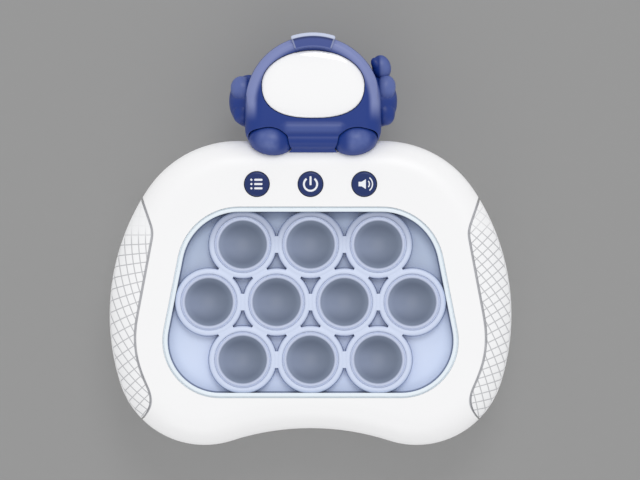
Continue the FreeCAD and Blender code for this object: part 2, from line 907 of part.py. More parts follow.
speaker_turns = [math.radians(angle) for angle in (90, 210, 330)]
speaker_reach = s.speaker_radius + s.small_head - s.speaker_hold
speaker_spots = [(speaker_reach * math.cos(turn), s.speaker_y + speaker_reach * math.sin(turn))
                 for turn in speaker_turns]
speaker_seat = speaker_low + s.speaker_rim_depth
speaker_heads = rods("speaker_head", s.small_head + s.screw_gap, speaker_seat, s.parting, speaker_spots)
speaker_rib = cut("speaker_rib", rib_outer, [rib_inner] + speaker_heads)
speaker_post_rods = rods("speaker_post", s.small_head, 0.0, speaker_seat, speaker_spots)
speaker_posts = cut("speaker_posts_clear", fuse("speaker_posts", speaker_post_rods),
                    [cylinder("speaker_room", s.speaker_radius + s.screw_gap, s.parting,
                              (0, s.speaker_y, s.wall))])
rear_room = cut("rear_room", core,
                tubes + [bay_block, ledge_block] + cover_posts + [speaker_rib, speaker_posts])
bay_room = box("bay_room", (-bay_half_x, bay_y - bay_half_y, -over),
               (bay_half_x, bay_y + bay_half_y, bay_top))
cover_seat = plate("cover_seat", (-cover_half_x, bay_y - cover_half_y, -over),
                   (cover_half_x, bay_y + cover_half_y, s.cover_inset + s.cover_depth), s.cover_round)
cover_boss_ways = rods("cover_boss_way", s.ear_radius + s.cover_gap, 0.0,
                       cover_top + s.cover_boss + s.screw_gap, cover_spots)
grille_spots = []
for ring, count in ((0, 1), (1, 6), (2, 12)):
    for step in range(count):
        turn = 2 * math.pi * step / count
        grille_spots.append((ring * s.grille_pitch * math.cos(turn),
                             s.speaker_y + ring * s.grille_pitch * math.sin(turn)))
grille = rods("grille_hole", s.grille_hole, -over, s.wall + over, grille_spots)
counterbores = rods("counterbore", s.large_head + s.screw_gap, -over, s.boss_seat, casing_bosses)
clearances = rods("clearance", s.large_screw + s.screw_gap, -over, s.parting + over, casing_bosses)
cover_bores = rods("cover_bore", s.small_screw + s.screw_gap, 0.0,
                   cover_screw_seat + s.small_length + s.screw_gap, cover_spots)
speaker_bores = rods("speaker_bore", s.small_screw, s.wall / 2, speaker_seat + over, speaker_spots)
helmet_screw_spots = [(s.helmet_x - s.helmet_screw_x, s.helmet_screw_height),
                      (s.helmet_x + s.helmet_screw_x, s.helmet_screw_height)]
up_y = ((1, 0, 0), -quarter_turn)
helmet_holes = [cylinder(f"helmet_hole_{index}", s.small_screw + s.screw_gap, s.wall * 3,
                         (x, s.case_top - s.wall * 2, z), up_y)
                for index, (x, z) in enumerate(helmet_screw_spots, start=1)]
helmet_seats = [cylinder(f"helmet_seat_{index}", s.small_head + s.screw_gap, s.wall,
                         (x, s.case_top - s.wall * 2, z), up_y)
                for index, (x, z) in enumerate(helmet_screw_spots, start=1)]
rear_solid = common("rear_solid", [outer, lower_half])
rear_walls = cut("rear_walls", rear_solid,
                 [rear_room, bay_room, cover_seat, grip_recess, rib_inner] + grille + counterbores
                 + clearances + cover_boss_ways + cover_bores + speaker_bores + speaker_heads
                 + helmet_holes + helmet_seats)
keep(fuse("rear_shell_piece", [rear_walls, lip]), "rear_shell")

keep(group("casing_screws_set", [
    screw(f"casing_screw_{index}", s.large_screw, s.large_head, s.large_head_depth, s.large_length,
          (x, y, s.boss_seat))
    for index, (x, y) in enumerate(casing_bosses, start=1)]), "casing_screws")

# Bezel
bezel_flange = window_form("bezel_flange", -s.bezel_groove / 2 - s.bezel_flange,
                           under_face - s.wall_gap - s.bezel_flange_depth, under_face - s.wall_gap)
bezel_collar = window_form("bezel_collar", s.bezel_groove / 2, panel_top, face)
doc.recompute()
round_edges(bezel_collar, bezel_collar.Tip, level(face), s.bezel_round)
bezel_hole = window_form("bezel_hole", s.bezel_groove / 2 + s.bezel_band, panel_top - over, face + over)
bezel_notches = rods("bezel_notch", s.ear_radius + s.wall_gap, panel_top, face, ears)
notched_flange = cut("notched_flange", bezel_flange, bezel_notches)
keep(cut("bezel_piece", fuse("bezel_solid", [notched_flange, bezel_collar]), [bezel_hole]), "window_bezel")

# Panel: a plate with ten joined rings
panel_plate = window_form("panel_plate", -s.panel_flange, panel_low, panel_top)
rings = [revolved(f"ring_{index}", [
    (s.ring_bore - over, panel_low),
    (s.ring_outer, panel_low),
    (s.ring_outer, ring_top - s.ring_round),
    (s.ring_outer - s.ring_round, ring_top),
    (s.ring_bore - over, ring_top),
], {2: (s.ring_round, -1)}, at=(x, y, 0)) for index, (x, y) in enumerate(bubbles, start=1)]
necks = []
for first, (x1, y1) in enumerate(bubbles):
    for second, (x2, y2) in enumerate(bubbles[first + 1:], start=first + 1):
        if math.hypot(x2 - x1, y2 - y1) < s.pitch + s.neck_width:
            turn = math.degrees(math.atan2(y2 - y1, x2 - x1))
            half_width = s.neck_width / 2
            half_length = s.neck_length / 2
            across = (math.cos(math.radians(turn)), math.sin(math.radians(turn)))
            corner = ((x1 + x2) / 2 - half_width * across[0] + half_length * across[1],
                      (y1 + y2) / 2 - half_width * across[1] - half_length * across[0], panel_low)
            neck = doc.addObject("Part::Box", f"neck_{first + 1}_{second + 1}")
            bind(neck, "Length", s.neck_width)
            bind(neck, "Width", s.neck_length)
            bind(neck, "Height", ring_top - s.neck_drop - panel_low)
            necks.append(place(neck, corner, ((0, 0, 1), turn)))
lattice_trim = window_form("lattice_trim", s.bezel_groove / 2 + s.bezel_band + s.panel_gap, panel_low, face)
lattice = common("lattice", [fuse("lattice_whole", rings + necks), lattice_trim])
panel_ears = rods("panel_ear", s.ear_radius, panel_low, panel_top, ears)
panel_pillars = rods("panel_pillar", s.pillar_radius, board_top, panel_low, pillars)
panel_bores = rods("panel_bore", s.ring_bore, panel_low - over, face + over, bubbles)
ear_holes = rods("ear_hole", s.small_screw + s.screw_gap, panel_low - over, panel_top + over, ears)
pillar_bores = rods("pillar_bore", s.small_screw, board_top - over,
                    board_low + s.small_length + s.screw_gap, pillars)
panel_solid = fuse("panel_solid", [panel_plate, lattice] + panel_ears + panel_pillars)
keep(cut("panel_piece", panel_solid, panel_bores + ear_holes + pillar_bores), "bubble_frame")
small_screws("panel_screws", ears, panel_low, s.small_length)

# Silicone mat and the ten bubble keys
mat_plan = window_form("mat_plan", s.mat_inset, panel_low - s.mat_depth, panel_low)
mat_holes = rods("mat_hole", s.mat_hole, panel_low - s.mat_depth - over, panel_low + over, bubbles)
mat_pillar_holes = rods("mat_pillar_hole", s.pillar_radius + s.pillar_web,
                        panel_low - s.mat_depth - over, panel_low + over, pillars)
keep(cut("mat_piece", mat_plan, mat_holes + mat_pillar_holes), "bubble_mat")

dish_radius = s.key_radius - s.key_rim
rim_base = key_top - s.key_rim / 2
bowl = (dish_radius * dish_radius + s.key_dish * s.key_dish) / (2 * s.key_dish)
bowl_low = rim_base - s.key_dish
bowl_centre = bowl_low + bowl
back = bowl + s.key_wall
skirt = dish_radius - s.key_step
back_edge = bowl_centre - root(back * back - skirt * skirt)
back_nub = bowl_centre - root(back * back - s.key_nub * s.key_nub)
for index, (x, y) in enumerate(bubbles, start=1):
    key = revolved(f"key_{index:02d}", [
        (0, nub_low),
        (s.key_nub, nub_low),
        (s.key_nub, back_nub),
        (skirt, back_edge),
        (skirt, flange_low),
        (s.key_flange, flange_low),
        (s.key_flange, flange_top),
        (s.key_radius, flange_top),
        (s.key_radius, rim_base),
        (dish_radius, rim_base),
        (0, bowl_low),
    ], {2: (back, -1), 8: (s.key_rim / 2, -1), 9: (bowl, 1)}, at=(x, y, 0))
    keep(key, f"bubble_key_{index:02d}")

# Printed board, its switches, lamps and parts
board_plan = window_form("board_plan", s.board_inset, board_low, board_top)
board_tab = box("board_tab", (-s.board_tab_half, 0, board_low),
                (s.board_tab_half, s.board_tab_top, board_top))
board_holes = rods("board_hole", s.small_screw + s.screw_gap, board_low - over, board_top + over, pillars)
keep(cut("board_piece", fuse("board_solid", [board_plan, board_tab]), board_holes), "main_board")
small_screws("board_screws", pillars, board_low, s.small_length)


def switch(name, x, y):
    half = s.switch_side / 2
    case = box(name + "_case", (x - half, y - half, board_top),
               (x + half, y + half, board_top + s.switch_height))
    knob = cylinder(name + "_knob", s.switch_button_radius, s.switch_height + s.switch_button,
                    (x, y, board_top))
    return fuse(name, [case, knob])


keep(group("bubble_switch_set", [switch(f"bubble_switch_{index}", x, y)
                                 for index, (x, y) in enumerate(bubbles, start=1)]), "bubble_switches")
keep(group("button_switch_set", [switch(f"button_switch_{index}", x, y)
                                 for index, (x, y) in enumerate(buttons, start=1)]), "button_switches")
keep(group("lamp_set", [revolved(f"lamp_{index}", [
    (0, board_top),
    (s.led_radius, board_top),
    (s.led_radius, board_top + s.led_height),
    (0, board_top + s.led_height + s.led_radius),
], {2: (s.led_radius, -1)}, at=(x, y + s.led_offset, 0))
    for index, (x, y) in enumerate(bubbles, start=1)]), "bubble_leds")


def chip(name, x, width, length):
    """A flat chip in the row of parts above the window."""
    return box(name, (x - width / 2, s.parts_row - length / 2, board_top),
               (x + width / 2, s.parts_row + length / 2, board_top + s.parts_height))


keep(group("board_item_set", [
    chip("processor", 0.0, s.chip_width, s.chip_length),
    chip("amplifier", s.amplifier_x, s.amplifier_side, s.amplifier_side),
    cylinder("can_1", s.can_radius, s.parts_height, (-s.can_x, s.parts_row, board_top)),
    cylinder("can_2", s.can_radius, s.parts_height, (s.can_x, s.parts_row, board_top)),
]), "board_parts")

# Buttons above the window
button_top = face + s.button_proud
button_flange_top = under_face - s.button_seat_gap
stem_low = switch_top + s.button_travel + s.switch_gap
for (x, y), node in zip(buttons, ("menu_button", "power_button", "volume_button")):
    cap = revolved(node + "_cap", [
        (0, stem_low),
        (s.button_stem, stem_low),
        (s.button_stem, button_flange_top - s.button_flange_depth),
        (s.button_flange, button_flange_top - s.button_flange_depth),
        (s.button_flange, button_flange_top),
        (s.button_radius, button_flange_top),
        (s.button_radius, button_top - s.button_round),
        (s.button_radius - s.button_round, button_top),
        (0, button_top),
    ], {6: (s.button_round, -1)}, at=(x, y, 0))
    keep(cap, node)

# Batteries, contacts, cover
cell_z = bay_floor + s.cell_radius
cell_left = -bay_half_x + s.contact_depth + s.contact_spring / 2
for index in range(int(s.cell_count)):
    facing = 1 if index % 2 == 0 else -1
    y = bay_y + (index - (s.cell_count - 1) / 2) * s.cell_pitch
    body_length = s.cell_length - s.cell_nub_height
    cell = revolved(f"cell_{index + 1}", [
        (0, s.cell_recess),
        (s.cell_pad, s.cell_recess),
        (s.cell_pad, 0),
        (s.cell_radius - s.cell_edge, 0),
        (s.cell_radius, s.cell_edge),
        (s.cell_radius, body_length - s.cell_edge),
        (s.cell_radius - s.cell_edge, body_length),
        (s.cell_nub, body_length),
        (s.cell_nub, s.cell_length),
        (0, s.cell_length),
    ], at=(cell_left if facing > 0 else cell_left + s.cell_length, y, cell_z),
        turn=((0, 1, 0), quarter_turn * facing))
    keep(cell, f"battery_{index + 1}")

plates = []
leaves = []
for index in range(int(s.cell_count)):
    facing = 1 if index % 2 == 0 else -1
    y = bay_y + (index - (s.cell_count - 1) / 2) * s.cell_pitch
    half = s.contact_width / 2
    low = cell_z - s.contact_height / 2
    high = cell_z + s.contact_height / 2
    for end in (-1, 1):
        inner = end * bay_half_x
        outer_face = inner - end * s.contact_depth
        ends = sorted((inner, outer_face))
        plates.append(box(f"plate_{index}_{end}", (ends[0], y - half, low), (ends[1], y + half, high)))
        leaf = new_body(f"leaf_{index}_{'a' if end < 0 else 'b'}")
        sketch = new_sketch(leaf, "XZ_Plane", -y - half)
        lean = s.contact_spring / 2 - s.contact_slack
        leaf_low = low + s.contact_margin
        leaf_high = high - s.contact_margin
        draw(sketch, [
            (outer_face, leaf_low),
            (outer_face - end * lean, cell_z),
            (outer_face, leaf_high),
            (outer_face, leaf_high - s.contact_foot),
            (outer_face - end * (lean - s.contact_depth), cell_z),
            (outer_face, leaf_low + s.contact_foot),
        ])
        pad(leaf, sketch, s.contact_width)
        leaves.append(leaf)
keep(fuse("contact_plates", plates[0::2] + leaves[0::2]), "battery_contacts_left")
keep(fuse("contact_leaves", plates[1::2] + leaves[1::2]), "battery_contacts_right")

cover_plate = plate("cover_plate",
                    (-cover_half_x + s.cover_gap, bay_y - cover_half_y + s.cover_gap, s.cover_inset),
                    (cover_half_x - s.cover_gap, bay_y + cover_half_y - s.cover_gap, cover_top),
                    s.cover_round - s.cover_gap)
cover_bosses = rods("cover_boss", s.ear_radius, s.cover_inset, cover_top + s.cover_boss, cover_spots)
head_room = rods("head_room", s.small_head + s.screw_gap, s.cover_inset - over, cover_screw_seat,
                 cover_spots)
cover_ways = rods("cover_way", s.small_screw + s.screw_gap, s.cover_inset - over, s.parting, cover_spots)
keep(cut("cover_piece", fuse("cover_solid", [cover_plate] + cover_bosses), head_room + cover_ways),
     "battery_cover")
small_screws("battery_cover_screws", cover_spots, cover_screw_seat, s.small_length)
keep(box("foam_block",
         (-s.foam_half, bay_y - bay_half_y + s.foam_margin, cover_top),
         (s.foam_half, bay_y + bay_half_y - s.foam_margin, bay_floor - s.screw_gap / 2)),
     "battery_cover_foam")

# Loudspeaker
keep(cut("gasket_piece",
         cylinder("gasket_ring", s.speaker_radius, s.speaker_gasket, (0, s.speaker_y, s.wall)),
         [cylinder("gasket_hole", s.speaker_radius - s.gasket_width, 3 * s.speaker_gasket,
                   (0, s.speaker_y, s.wall - s.speaker_gasket))]), "speaker_gasket")
cone_low = speaker_low + s.cone_lift
cone_radius = s.speaker_radius - s.cone_edge
basket_top = speaker_seat + s.speaker_basket_height
basket_under = basket_top - s.basket_sheet
keep(revolved("basket", [
    (cone_radius, speaker_low),
    (s.speaker_radius, speaker_low),
    (s.speaker_radius, speaker_seat),
    (s.speaker_radius - s.basket_rim, speaker_seat),
    (s.speaker_magnet_radius + s.basket_sheet, basket_top),
    (s.basket_hole, basket_top),
    (s.basket_hole, basket_under),
    (s.speaker_magnet_radius, basket_under),
    (cone_radius - s.basket_sheet, speaker_seat),
    (cone_radius, speaker_seat - s.basket_lip),
], at=(0, s.speaker_y, 0)), "speaker_basket")
cone_neck = cone_low + s.cone_rise
cap_low = cone_neck - 2 * s.cone_sheet
coil_top = basket_under - s.coil_gap
keep(revolved("cone", [
    (0, cap_low),
    (s.coil_radius, cone_neck),
    (cone_radius, cone_low),
    (cone_radius, cone_low + s.cone_sheet),
    (s.coil_radius, cone_neck + s.coil_wall),
    (s.coil_radius, coil_top),
    (s.coil_radius - s.coil_wall, coil_top),
    (s.coil_radius - s.coil_wall, cone_neck + s.coil_wall),
    (0, cap_low + s.coil_wall),
], at=(0, s.speaker_y, 0)), "speaker_cone")
keep(cylinder("magnet", s.speaker_magnet_radius, s.speaker_magnet_depth, (0, s.speaker_y, basket_top)),
     "speaker_magnet")
down = ((1, 0, 0), 2 * quarter_turn)
keep(group("speaker_screw_set", [
    screw(f"speaker_screw_{index}", s.small_screw, s.small_head, s.small_head_depth,
          speaker_seat - s.wall, (x, y, speaker_seat), down)
    for index, (x, y) in enumerate(speaker_spots, start=1)]), "speaker_screws")

# Helmet
helmet_outer = helmet_form("helmet_outer", 0.0, s.helmet_back, s.helmet_front,
                           s.helmet_front_round, s.helmet_back_round)
helmet_core = helmet_form("helmet_core", -s.helmet_wall, s.helmet_back + s.helmet_wall,
                          s.helmet_front - s.helmet_face_wall,
                          s.helmet_front_round - s.helmet_wall, s.helmet_back_round - s.helmet_wall)
def crest_form():
    """The slab over the brow: a bent bar on the dome's own middle, with rounded front edges."""
    outer_radius = s.helmet_half + s.crest_rise
    outer_y = root(outer_radius * outer_radius - s.crest_half * s.crest_half)
    inner_x = s.crest_half * s.crest_inner / outer_radius
    inner_y = outer_y * s.crest_inner / outer_radius
    body = new_body("crest")
    sketch = new_sketch(body, "XY_Plane", s.crest_back)
    draw(sketch, [
        (-inner_x, inner_y),
        (-s.crest_half, outer_y),
        (s.crest_half, outer_y),
        (inner_x, inner_y),
    ], {1: (outer_radius, 1), 3: (s.crest_inner, -1)})
    slab = pad(body, sketch, s.crest_front - s.crest_back)
    ends = round_edges(body, slab, upright(lambda x, y: y > float(outer_y) - 0.01), s.crest_round)
    round_edges(body, ends, level(s.crest_front), s.crest_round)
    return place(body, (s.helmet_x, dome_y, 0))


def rim_form():
    """The rolled rim: half a ring over the dome whose two ends dive into the cheeks."""
    def dive(side):
        points = []
        for share in (0, 0.5, 1):
            turn = math.radians(s.rim_dive_angle * share)
            points.append(Vector(s.helmet_x + side * s.rim_reach,
                                 dome_y - s.rim_dive_radius * math.sin(turn),
                                 s.rim_level - s.rim_dive_radius * (1 - math.cos(turn))))
        return points

    left = dive(-1)
    right = dive(1)
    crown = Vector(s.helmet_x, dome_y + s.rim_reach, s.rim_level)
    path = (left[::-1], (left[0], crown, right[0]), right)
    return rod_along("rim", [Part.Arc(*points).toShape() for points in path], s.rim_thick)


chin = [roller(f"chin_roll_{index}", s.chin_half, thick, (s.helmet_x, y, height))
        for index, (y, height, thick) in enumerate((
            (s.chin_high_y, s.chin_high_level, s.chin_high_thick),
            (s.chin_middle_y, s.chin_middle_level, s.chin_middle_thick),
            (s.chin_low_y, s.chin_low_level, s.chin_low_thick)), start=1)]
limbs = []
for side, hand in ((-1, "left"), (1, "right")):
    for name, along, across, x, y, height in (
        ("arm", s.arm_long, s.arm_thick, s.arm_x, s.arm_y, s.arm_height),
        ("high_cuff", s.cuff_long, s.cuff_thick, s.cuff_high_x, s.cuff_high_y, s.cuff_high_level),
        ("low_cuff", s.cuff_long, s.cuff_thick, s.cuff_low_x, s.cuff_low_y, s.cuff_low_level),
        ("boot", s.boot_tall, s.boot_wide, s.boot_x, s.boot_y, s.boot_height),
    ):
        limbs.append(egg(f"{hand}_{name}", along, across, (s.helmet_x + side * x, y, height), up_y))
limbs.append(egg("hand", s.hand_long, s.hand_thick, (s.helmet_x + s.hand_x, s.hand_y, s.hand_height), up_y))
saddle = casing_form("saddle", -s.saddle_gap, -s.saddle_gap, face + s.saddle_gap,
                     s.front_roll + s.saddle_gap, s.rear_roll + s.saddle_gap)
helmet_floor = box("helmet_floor_block", (-reach, -reach, -over), (reach, s.helmet_floor, reach))
posts = [cylinder(f"helmet_post_{index}", s.helmet_post, s.helmet_post_length + s.helmet_post_root,
                  (x, s.helmet_floor - s.helmet_post_root, z), up_y)
         for index, (x, z) in enumerate(helmet_screw_spots, start=1)]
joint_spots = [(s.helmet_x - s.helmet_joint_x, s.helmet_joint_y),
               (s.helmet_x + s.helmet_joint_x, s.helmet_joint_y)]
joint_posts = rods("joint_post", s.helmet_post, s.helmet_back, s.helmet_front, joint_spots)
helmet_room = cut("helmet_room", helmet_core, [helmet_floor] + posts + joint_posts)
helmet_whole = fuse("helmet_whole", [helmet_outer, rim_form(), crest_form()] + chin + limbs)
split_high = box("split_high", (-reach, 0, s.helmet_split), (reach, reach, reach))
split_low = box("split_low", (-reach, 0, -over), (reach, reach, s.helmet_split))


def ellipse_plate(name, half_width, half_height, low, high):
    """An upright block on an ellipse round the visor's middle."""
    curve = doc.addObject("Part::Ellipse", name + "_curve")
    bind(curve, "MajorRadius", half_width)
    bind(curve, "MinorRadius", half_height)
    place(curve, (s.helmet_x, s.visor_y, low))
    plate = doc.addObject("Part::Extrusion", name)
    plate.Base = curve
    plate.DirMode = "Custom"
    plate.Dir = (0, 0, 1)
    plate.Solid = True
    bind(plate, "LengthFwd", number(high) - low)
    return plate


visor_seat = s.helmet_front - s.visor_pocket
visor_pocket = ellipse_plate("visor_pocket", s.visor_half_width + s.visor_gap,
                             s.visor_half_height + s.visor_gap, visor_seat, reach)
joint_bores = rods("joint_bore", s.small_screw, s.helmet_split - over,
                   s.helmet_joint_seat + s.helmet_joint_length + s.screw_gap, joint_spots)
joint_heads = rods("joint_head", s.small_head + s.screw_gap, 0.0, s.helmet_joint_seat, joint_spots)
joint_ways = rods("joint_way", s.small_screw + s.screw_gap, 0.0, s.helmet_split + over, joint_spots)
post_bores = [cylinder(f"post_bore_{index}", s.small_screw, s.helmet_screw_length + s.screw_gap,
                       (x, s.case_top - s.wall, z), up_y)
              for index, (x, z) in enumerate(helmet_screw_spots, start=1)]
keep(cut("helmet_front_piece", common("helmet_front_solid", [helmet_whole, split_high]),
         [helmet_room, saddle, visor_pocket] + joint_bores), "helmet_front")
keep(cut("helmet_rear_piece", common("helmet_rear_solid", [helmet_whole, split_low]),
         [helmet_room, saddle] + joint_heads + joint_ways + post_bores), "helmet_rear")

visor_top = s.helmet_front + s.visor_crown
dome = doc.addObject("Part::Sphere", "visor_sphere")
bind(dome, "Radius", s.visor_dome)
place(dome, (s.helmet_x, s.visor_y, visor_top - s.visor_dome))
visor_plate = ellipse_plate("visor_plate", s.visor_half_width, s.visor_half_height,
                            visor_seat, visor_top + over)
keep(common("visor_piece", [visor_plate, dome]), "visor")
keep(group("helmet_joint_screw_set", [
    screw(f"helmet_joint_screw_{index}", s.small_screw, s.small_head, s.small_head_depth,
          s.helmet_joint_length, (x, y, s.helmet_joint_seat))
    for index, (x, y) in enumerate(joint_spots, start=1)]), "helmet_joint_screws")
keep(group("helmet_screw_set", [
    screw(f"helmet_screw_{index}", s.small_screw, s.small_head, s.small_head_depth,
          s.helmet_screw_length, (x, s.case_top - s.wall, z), up_y)
    for index, (x, z) in enumerate(helmet_screw_spots, start=1)]), "helmet_screws")


# Leads
def lead(name, corners, radius, bend):
    """A round wire along straight runs joined by tangent arcs."""
    points = [Vector(*[float(value) for value in corner]) for corner in corners]
    edges = []
    start = points[0]
    for before, corner, after in zip(points, points[1:], points[2:]):
        inward = (before - corner).normalize()
        outward = (after - corner).normalize()
        opening = inward.getAngle(outward)
        run = bend / math.tan(opening / 2)
        first = corner + inward * run
        last = corner + outward * run
        middle = (inward + outward).normalize()
        crown = corner + middle * (bend / math.sin(opening / 2) - bend)
        edges.append(Part.LineSegment(start, first).toShape())
        edges.append(Part.Arc(first, crown, last).toShape())
        start = last
    edges.append(Part.LineSegment(start, points[-1]).toShape())
    return rod_along(name, edges, radius)


bay_side = -bay_half_x - s.bay_wall
battery_lead_z = cell_z + s.contact_height / 2 - s.lead_drop
battery_leads = []
for side in (-1, 1):
    y = bay_y + s.cell_pitch + side * s.lead_spread
    battery_leads.append(lead(f"battery_lead_{'a' if side < 0 else 'b'}", [
        (bay_side, y, battery_lead_z),
        (bay_side - s.battery_lead_reach, y, battery_lead_z),
        (bay_side - s.battery_lead_reach, y, board_low),
    ], s.lead_radius, s.lead_bend))
keep(group("battery_lead_set", battery_leads), "battery_leads")
magnet_side = s.speaker_y + s.speaker_magnet_radius
speaker_lead_z = basket_top + s.speaker_lead_rise
speaker_leads = []
for side in (-1, 1):
    x = side * s.lead_spread
    speaker_leads.append(lead(f"speaker_lead_{'a' if side < 0 else 'b'}", [
        (x, magnet_side, speaker_lead_z),
        (x, magnet_side + s.speaker_lead_reach, speaker_lead_z),
        (x, magnet_side + s.speaker_lead_reach, board_low),
    ], s.lead_radius, s.lead_bend))
keep(group("speaker_lead_set", speaker_leads), "speaker_leads")


# Checks and files
doc.recompute()
failed = [item.Name for item in doc.Objects if "Invalid" in item.State or "Error" in item.State]
if failed:
    raise RuntimeError("did not build: " + ", ".join(failed))
os.makedirs("parts", exist_ok=True)
for piece in kept:
    if piece.Shape.isNull() or not piece.Shape.isValid():
        raise RuntimeError(f"{piece.Label} has no valid shape")
    piece.Shape.exportStep(f"parts/{piece.Label}.step")
    print(f"{piece.Label}: {len(piece.Shape.Solids)} solids, {piece.Shape.Volume:.1f} mm3")
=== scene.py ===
"""The looks of the hand-held push game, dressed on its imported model.

+X is the player's right, +Y points to the helmet and +Z out of the front face.  Meshes
are drawn in millimetres and brought to metres when a piece is finished.
"""
import json
import math

import bmesh
import bpy
from mathutils import Matrix, Vector


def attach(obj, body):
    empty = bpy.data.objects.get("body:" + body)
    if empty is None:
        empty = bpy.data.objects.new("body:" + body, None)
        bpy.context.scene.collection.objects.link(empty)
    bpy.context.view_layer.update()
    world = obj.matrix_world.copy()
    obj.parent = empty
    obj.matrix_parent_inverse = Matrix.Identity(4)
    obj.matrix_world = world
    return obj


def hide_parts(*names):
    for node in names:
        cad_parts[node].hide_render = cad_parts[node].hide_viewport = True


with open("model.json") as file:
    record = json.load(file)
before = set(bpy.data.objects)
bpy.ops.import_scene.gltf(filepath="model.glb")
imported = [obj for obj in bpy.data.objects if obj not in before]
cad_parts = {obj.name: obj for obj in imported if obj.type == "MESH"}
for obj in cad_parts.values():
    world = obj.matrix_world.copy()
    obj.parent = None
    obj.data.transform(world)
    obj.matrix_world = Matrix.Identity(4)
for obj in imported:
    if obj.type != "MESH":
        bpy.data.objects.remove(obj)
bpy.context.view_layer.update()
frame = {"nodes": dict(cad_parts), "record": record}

MM = 0.001
NODES = frame["nodes"]
# Points of a turned or cut mesh that are closer than this are one
WELD = 0.0005

# Camera: straight above, with a long lens. The picture is PHOTO_WIDTH_MM wide at SCALE_LEVEL, and
# the camera is CAMERA_HEIGHT above that, both in metres; it stands off the middle by millimetres
PHOTO_WIDTH_MM = 270.65
CAMERA_HEIGHT = 4.0
SCALE_LEVEL = 0.03
SENSOR_WIDTH = 36
CAMERA_X = 4.0
CAMERA_Y = -0.4

# Backdrop: its grey on screen, the share of it that glows, and the even light from all round
BACKDROP = (151, 151, 151)
BACKDROP_GLOW = 0.45
AMBIENT = 0.77
# Lamps: place and disk's width in metres, and power; both aim at the model's middle
KEY_LAMP = ((0.4, 2.1, 2.8), 1.6, 30)
FILL_LAMP = ((-0.5, -2.6, 2.0), 2.0, 11)
# The floor lies a hair under the flat back, so that the two faces don't fight, in metres
FLOOR_GAP = 0.00002
FLOOR_SIZE = 2.5

# Plastic skins: how often the colour clouds, the gloss varies and the grain repeats, in turns
# per metre, and the grain's height in metres
CLOUD_SCALE = 28.0
GLOSS_SCALE = 160.0
GRAIN_SCALE = 900.0
GRAIN_HEIGHT = 0.00002
# Half width of a parting line and of a groove's painted shade: dark up to the first, clear of the
# second
HAIRLINE = (0.08, 0.22)
GROOVE_SHADE = (0.3, 0.7)

# Casing, as in the solids
FACE = 40.0
PARTING = 19.0
CASE_WIDTH = 170.0
HALF_HEIGHT = 87.1
CASE_TOP = 41.5
ARCH_DROP = 80.0
SHOULDER_RADIUS = 46.0
SIDE_RADIUS = 95.5
SIDE_DROP = 32.0
LOBE_RADIUS = 37.4
FRONT_ROLL = 12.0
REAR_ROLL = 14.0
UNDER_FACE = 37.6

# Window in the front face
WINDOW_TOP = 13.4
WINDOW_DROP = 66.8
WINDOW_HALF = 59.45
WINDOW_TILT = math.radians(11.2)
WINDOW_TOP_ROUND = 26.1
WINDOW_LOW_ROUND = 23.9
BEZEL_INSET = 0.3
BEZEL_BAND = 1.6
BEZEL_INNER = BEZEL_INSET + BEZEL_BAND
BEZEL_FLANGE = 1.2
BEZEL_FLANGE_TOP = UNDER_FACE - 0.2
BEZEL_FLANGE_LOW = UNDER_FACE - 2.2
BEZEL_ROUND = 0.5
BEZEL_STEPS = 4
BEZEL_LEDGE = 0.25
BEZEL_LEDGE_TOP = FACE - 0.9
WINDOW_STEPS = 20

# Lattice and bubbles
LATTICE_Y = -26.6
PITCH = 28.6
ROW_PITCH = 24.3
RING_OUTER = 14.3
RING_BORE = 11.9
RING_TOP = 38.6
PANEL_TOP = 34.6
PANEL_LOW = 32.6
NECK_LENGTH = 7.0
NECK_WIDTH = 3.0
NECK_DROP = 0.3
RING_ROUND = 1.5
RING_INNER_ROUND = 0.9
RING_FOOT = 14.65
RING_SEGMENTS = 96
# Rings are cut off this far inside the bezel's wall
RING_TRIM = 0.1
PANEL_FLANGE = 2.6
BUBBLES = [((index - (count - 1) / 2) * PITCH, LATTICE_Y + line * ROW_PITCH)
           for line, count in ((1, 3), (0, 4), (-1, 3)) for index in range(count)]
KEY_RADIUS = 11.4
KEY_RIM = 1.25
KEY_TOP = 38.0
KEY_DISH = 4.5
KEY_WALL = 1.2
KEY_FLANGE = 12.6
KEY_FLANGE_TOP = 32.2
KEY_FLANGE_LOW = 31.0
KEY_SKIRT_INSET = 0.2
KEY_NUB = 2.2
KEY_NUB_LOW = 30.9
# The key's ledge: its radius, and the levels where it leaves the wall, stands out and goes back
KEY_LEDGE = 11.84
KEY_LEDGE_LEVELS = (37.6, 37.4, 36.8, 36.4)
KEY_SEGMENTS = 80
KEY_UV = "UVMap"

# Control buttons
BUTTON_RADIUS = 5.2
BUTTON_PITCH = 22.65
BUTTON_Y = 23.2
BUTTON_TOP = 40.6
BUTTON_ROUND = 0.8
BUTTON_FLANGE = 6.6
BUTTON_FLANGE_TOP = 37.3
BUTTON_FLANGE_LOW = 35.7
BUTTON_STEM = 2.2
BUTTON_STEM_LOW = 28.7
BUTTON_SEGMENTS = 96
# Signs: height of the print over the button, and how deep it is sunk in it
PRINT_DEPTH = 0.06
PRINT_SEAT = 0.01

# Middle line of the groove beside a grip: each stretch from (x, y), with its drift in x for a rise
# in y, and how softly the stretches run into each other
GROOVE_CROWN = (66.45, 3.1, 0.35)
GROOVE_FLANK = (66.45, 3.1, -0.188)
GROOVE_WAIST = (75.85, -46.8, 0.445)
GROOVE_HEEL = (65.25, -70.6, -1.129)
GROOVE_ROUNDS = (12.1, 2.5, 14.9)
# Grips: the x that the grid is laid round, the level below which it goes on down the side, the
# levels between which it fades in from the back, and half the width of a line
GRIP_MIDDLE = 77.0
GRIP_UNROLL = 32.0
GRIP_BACK_FADE = (9.5, 12.5)
GRIP_LINE = 0.3
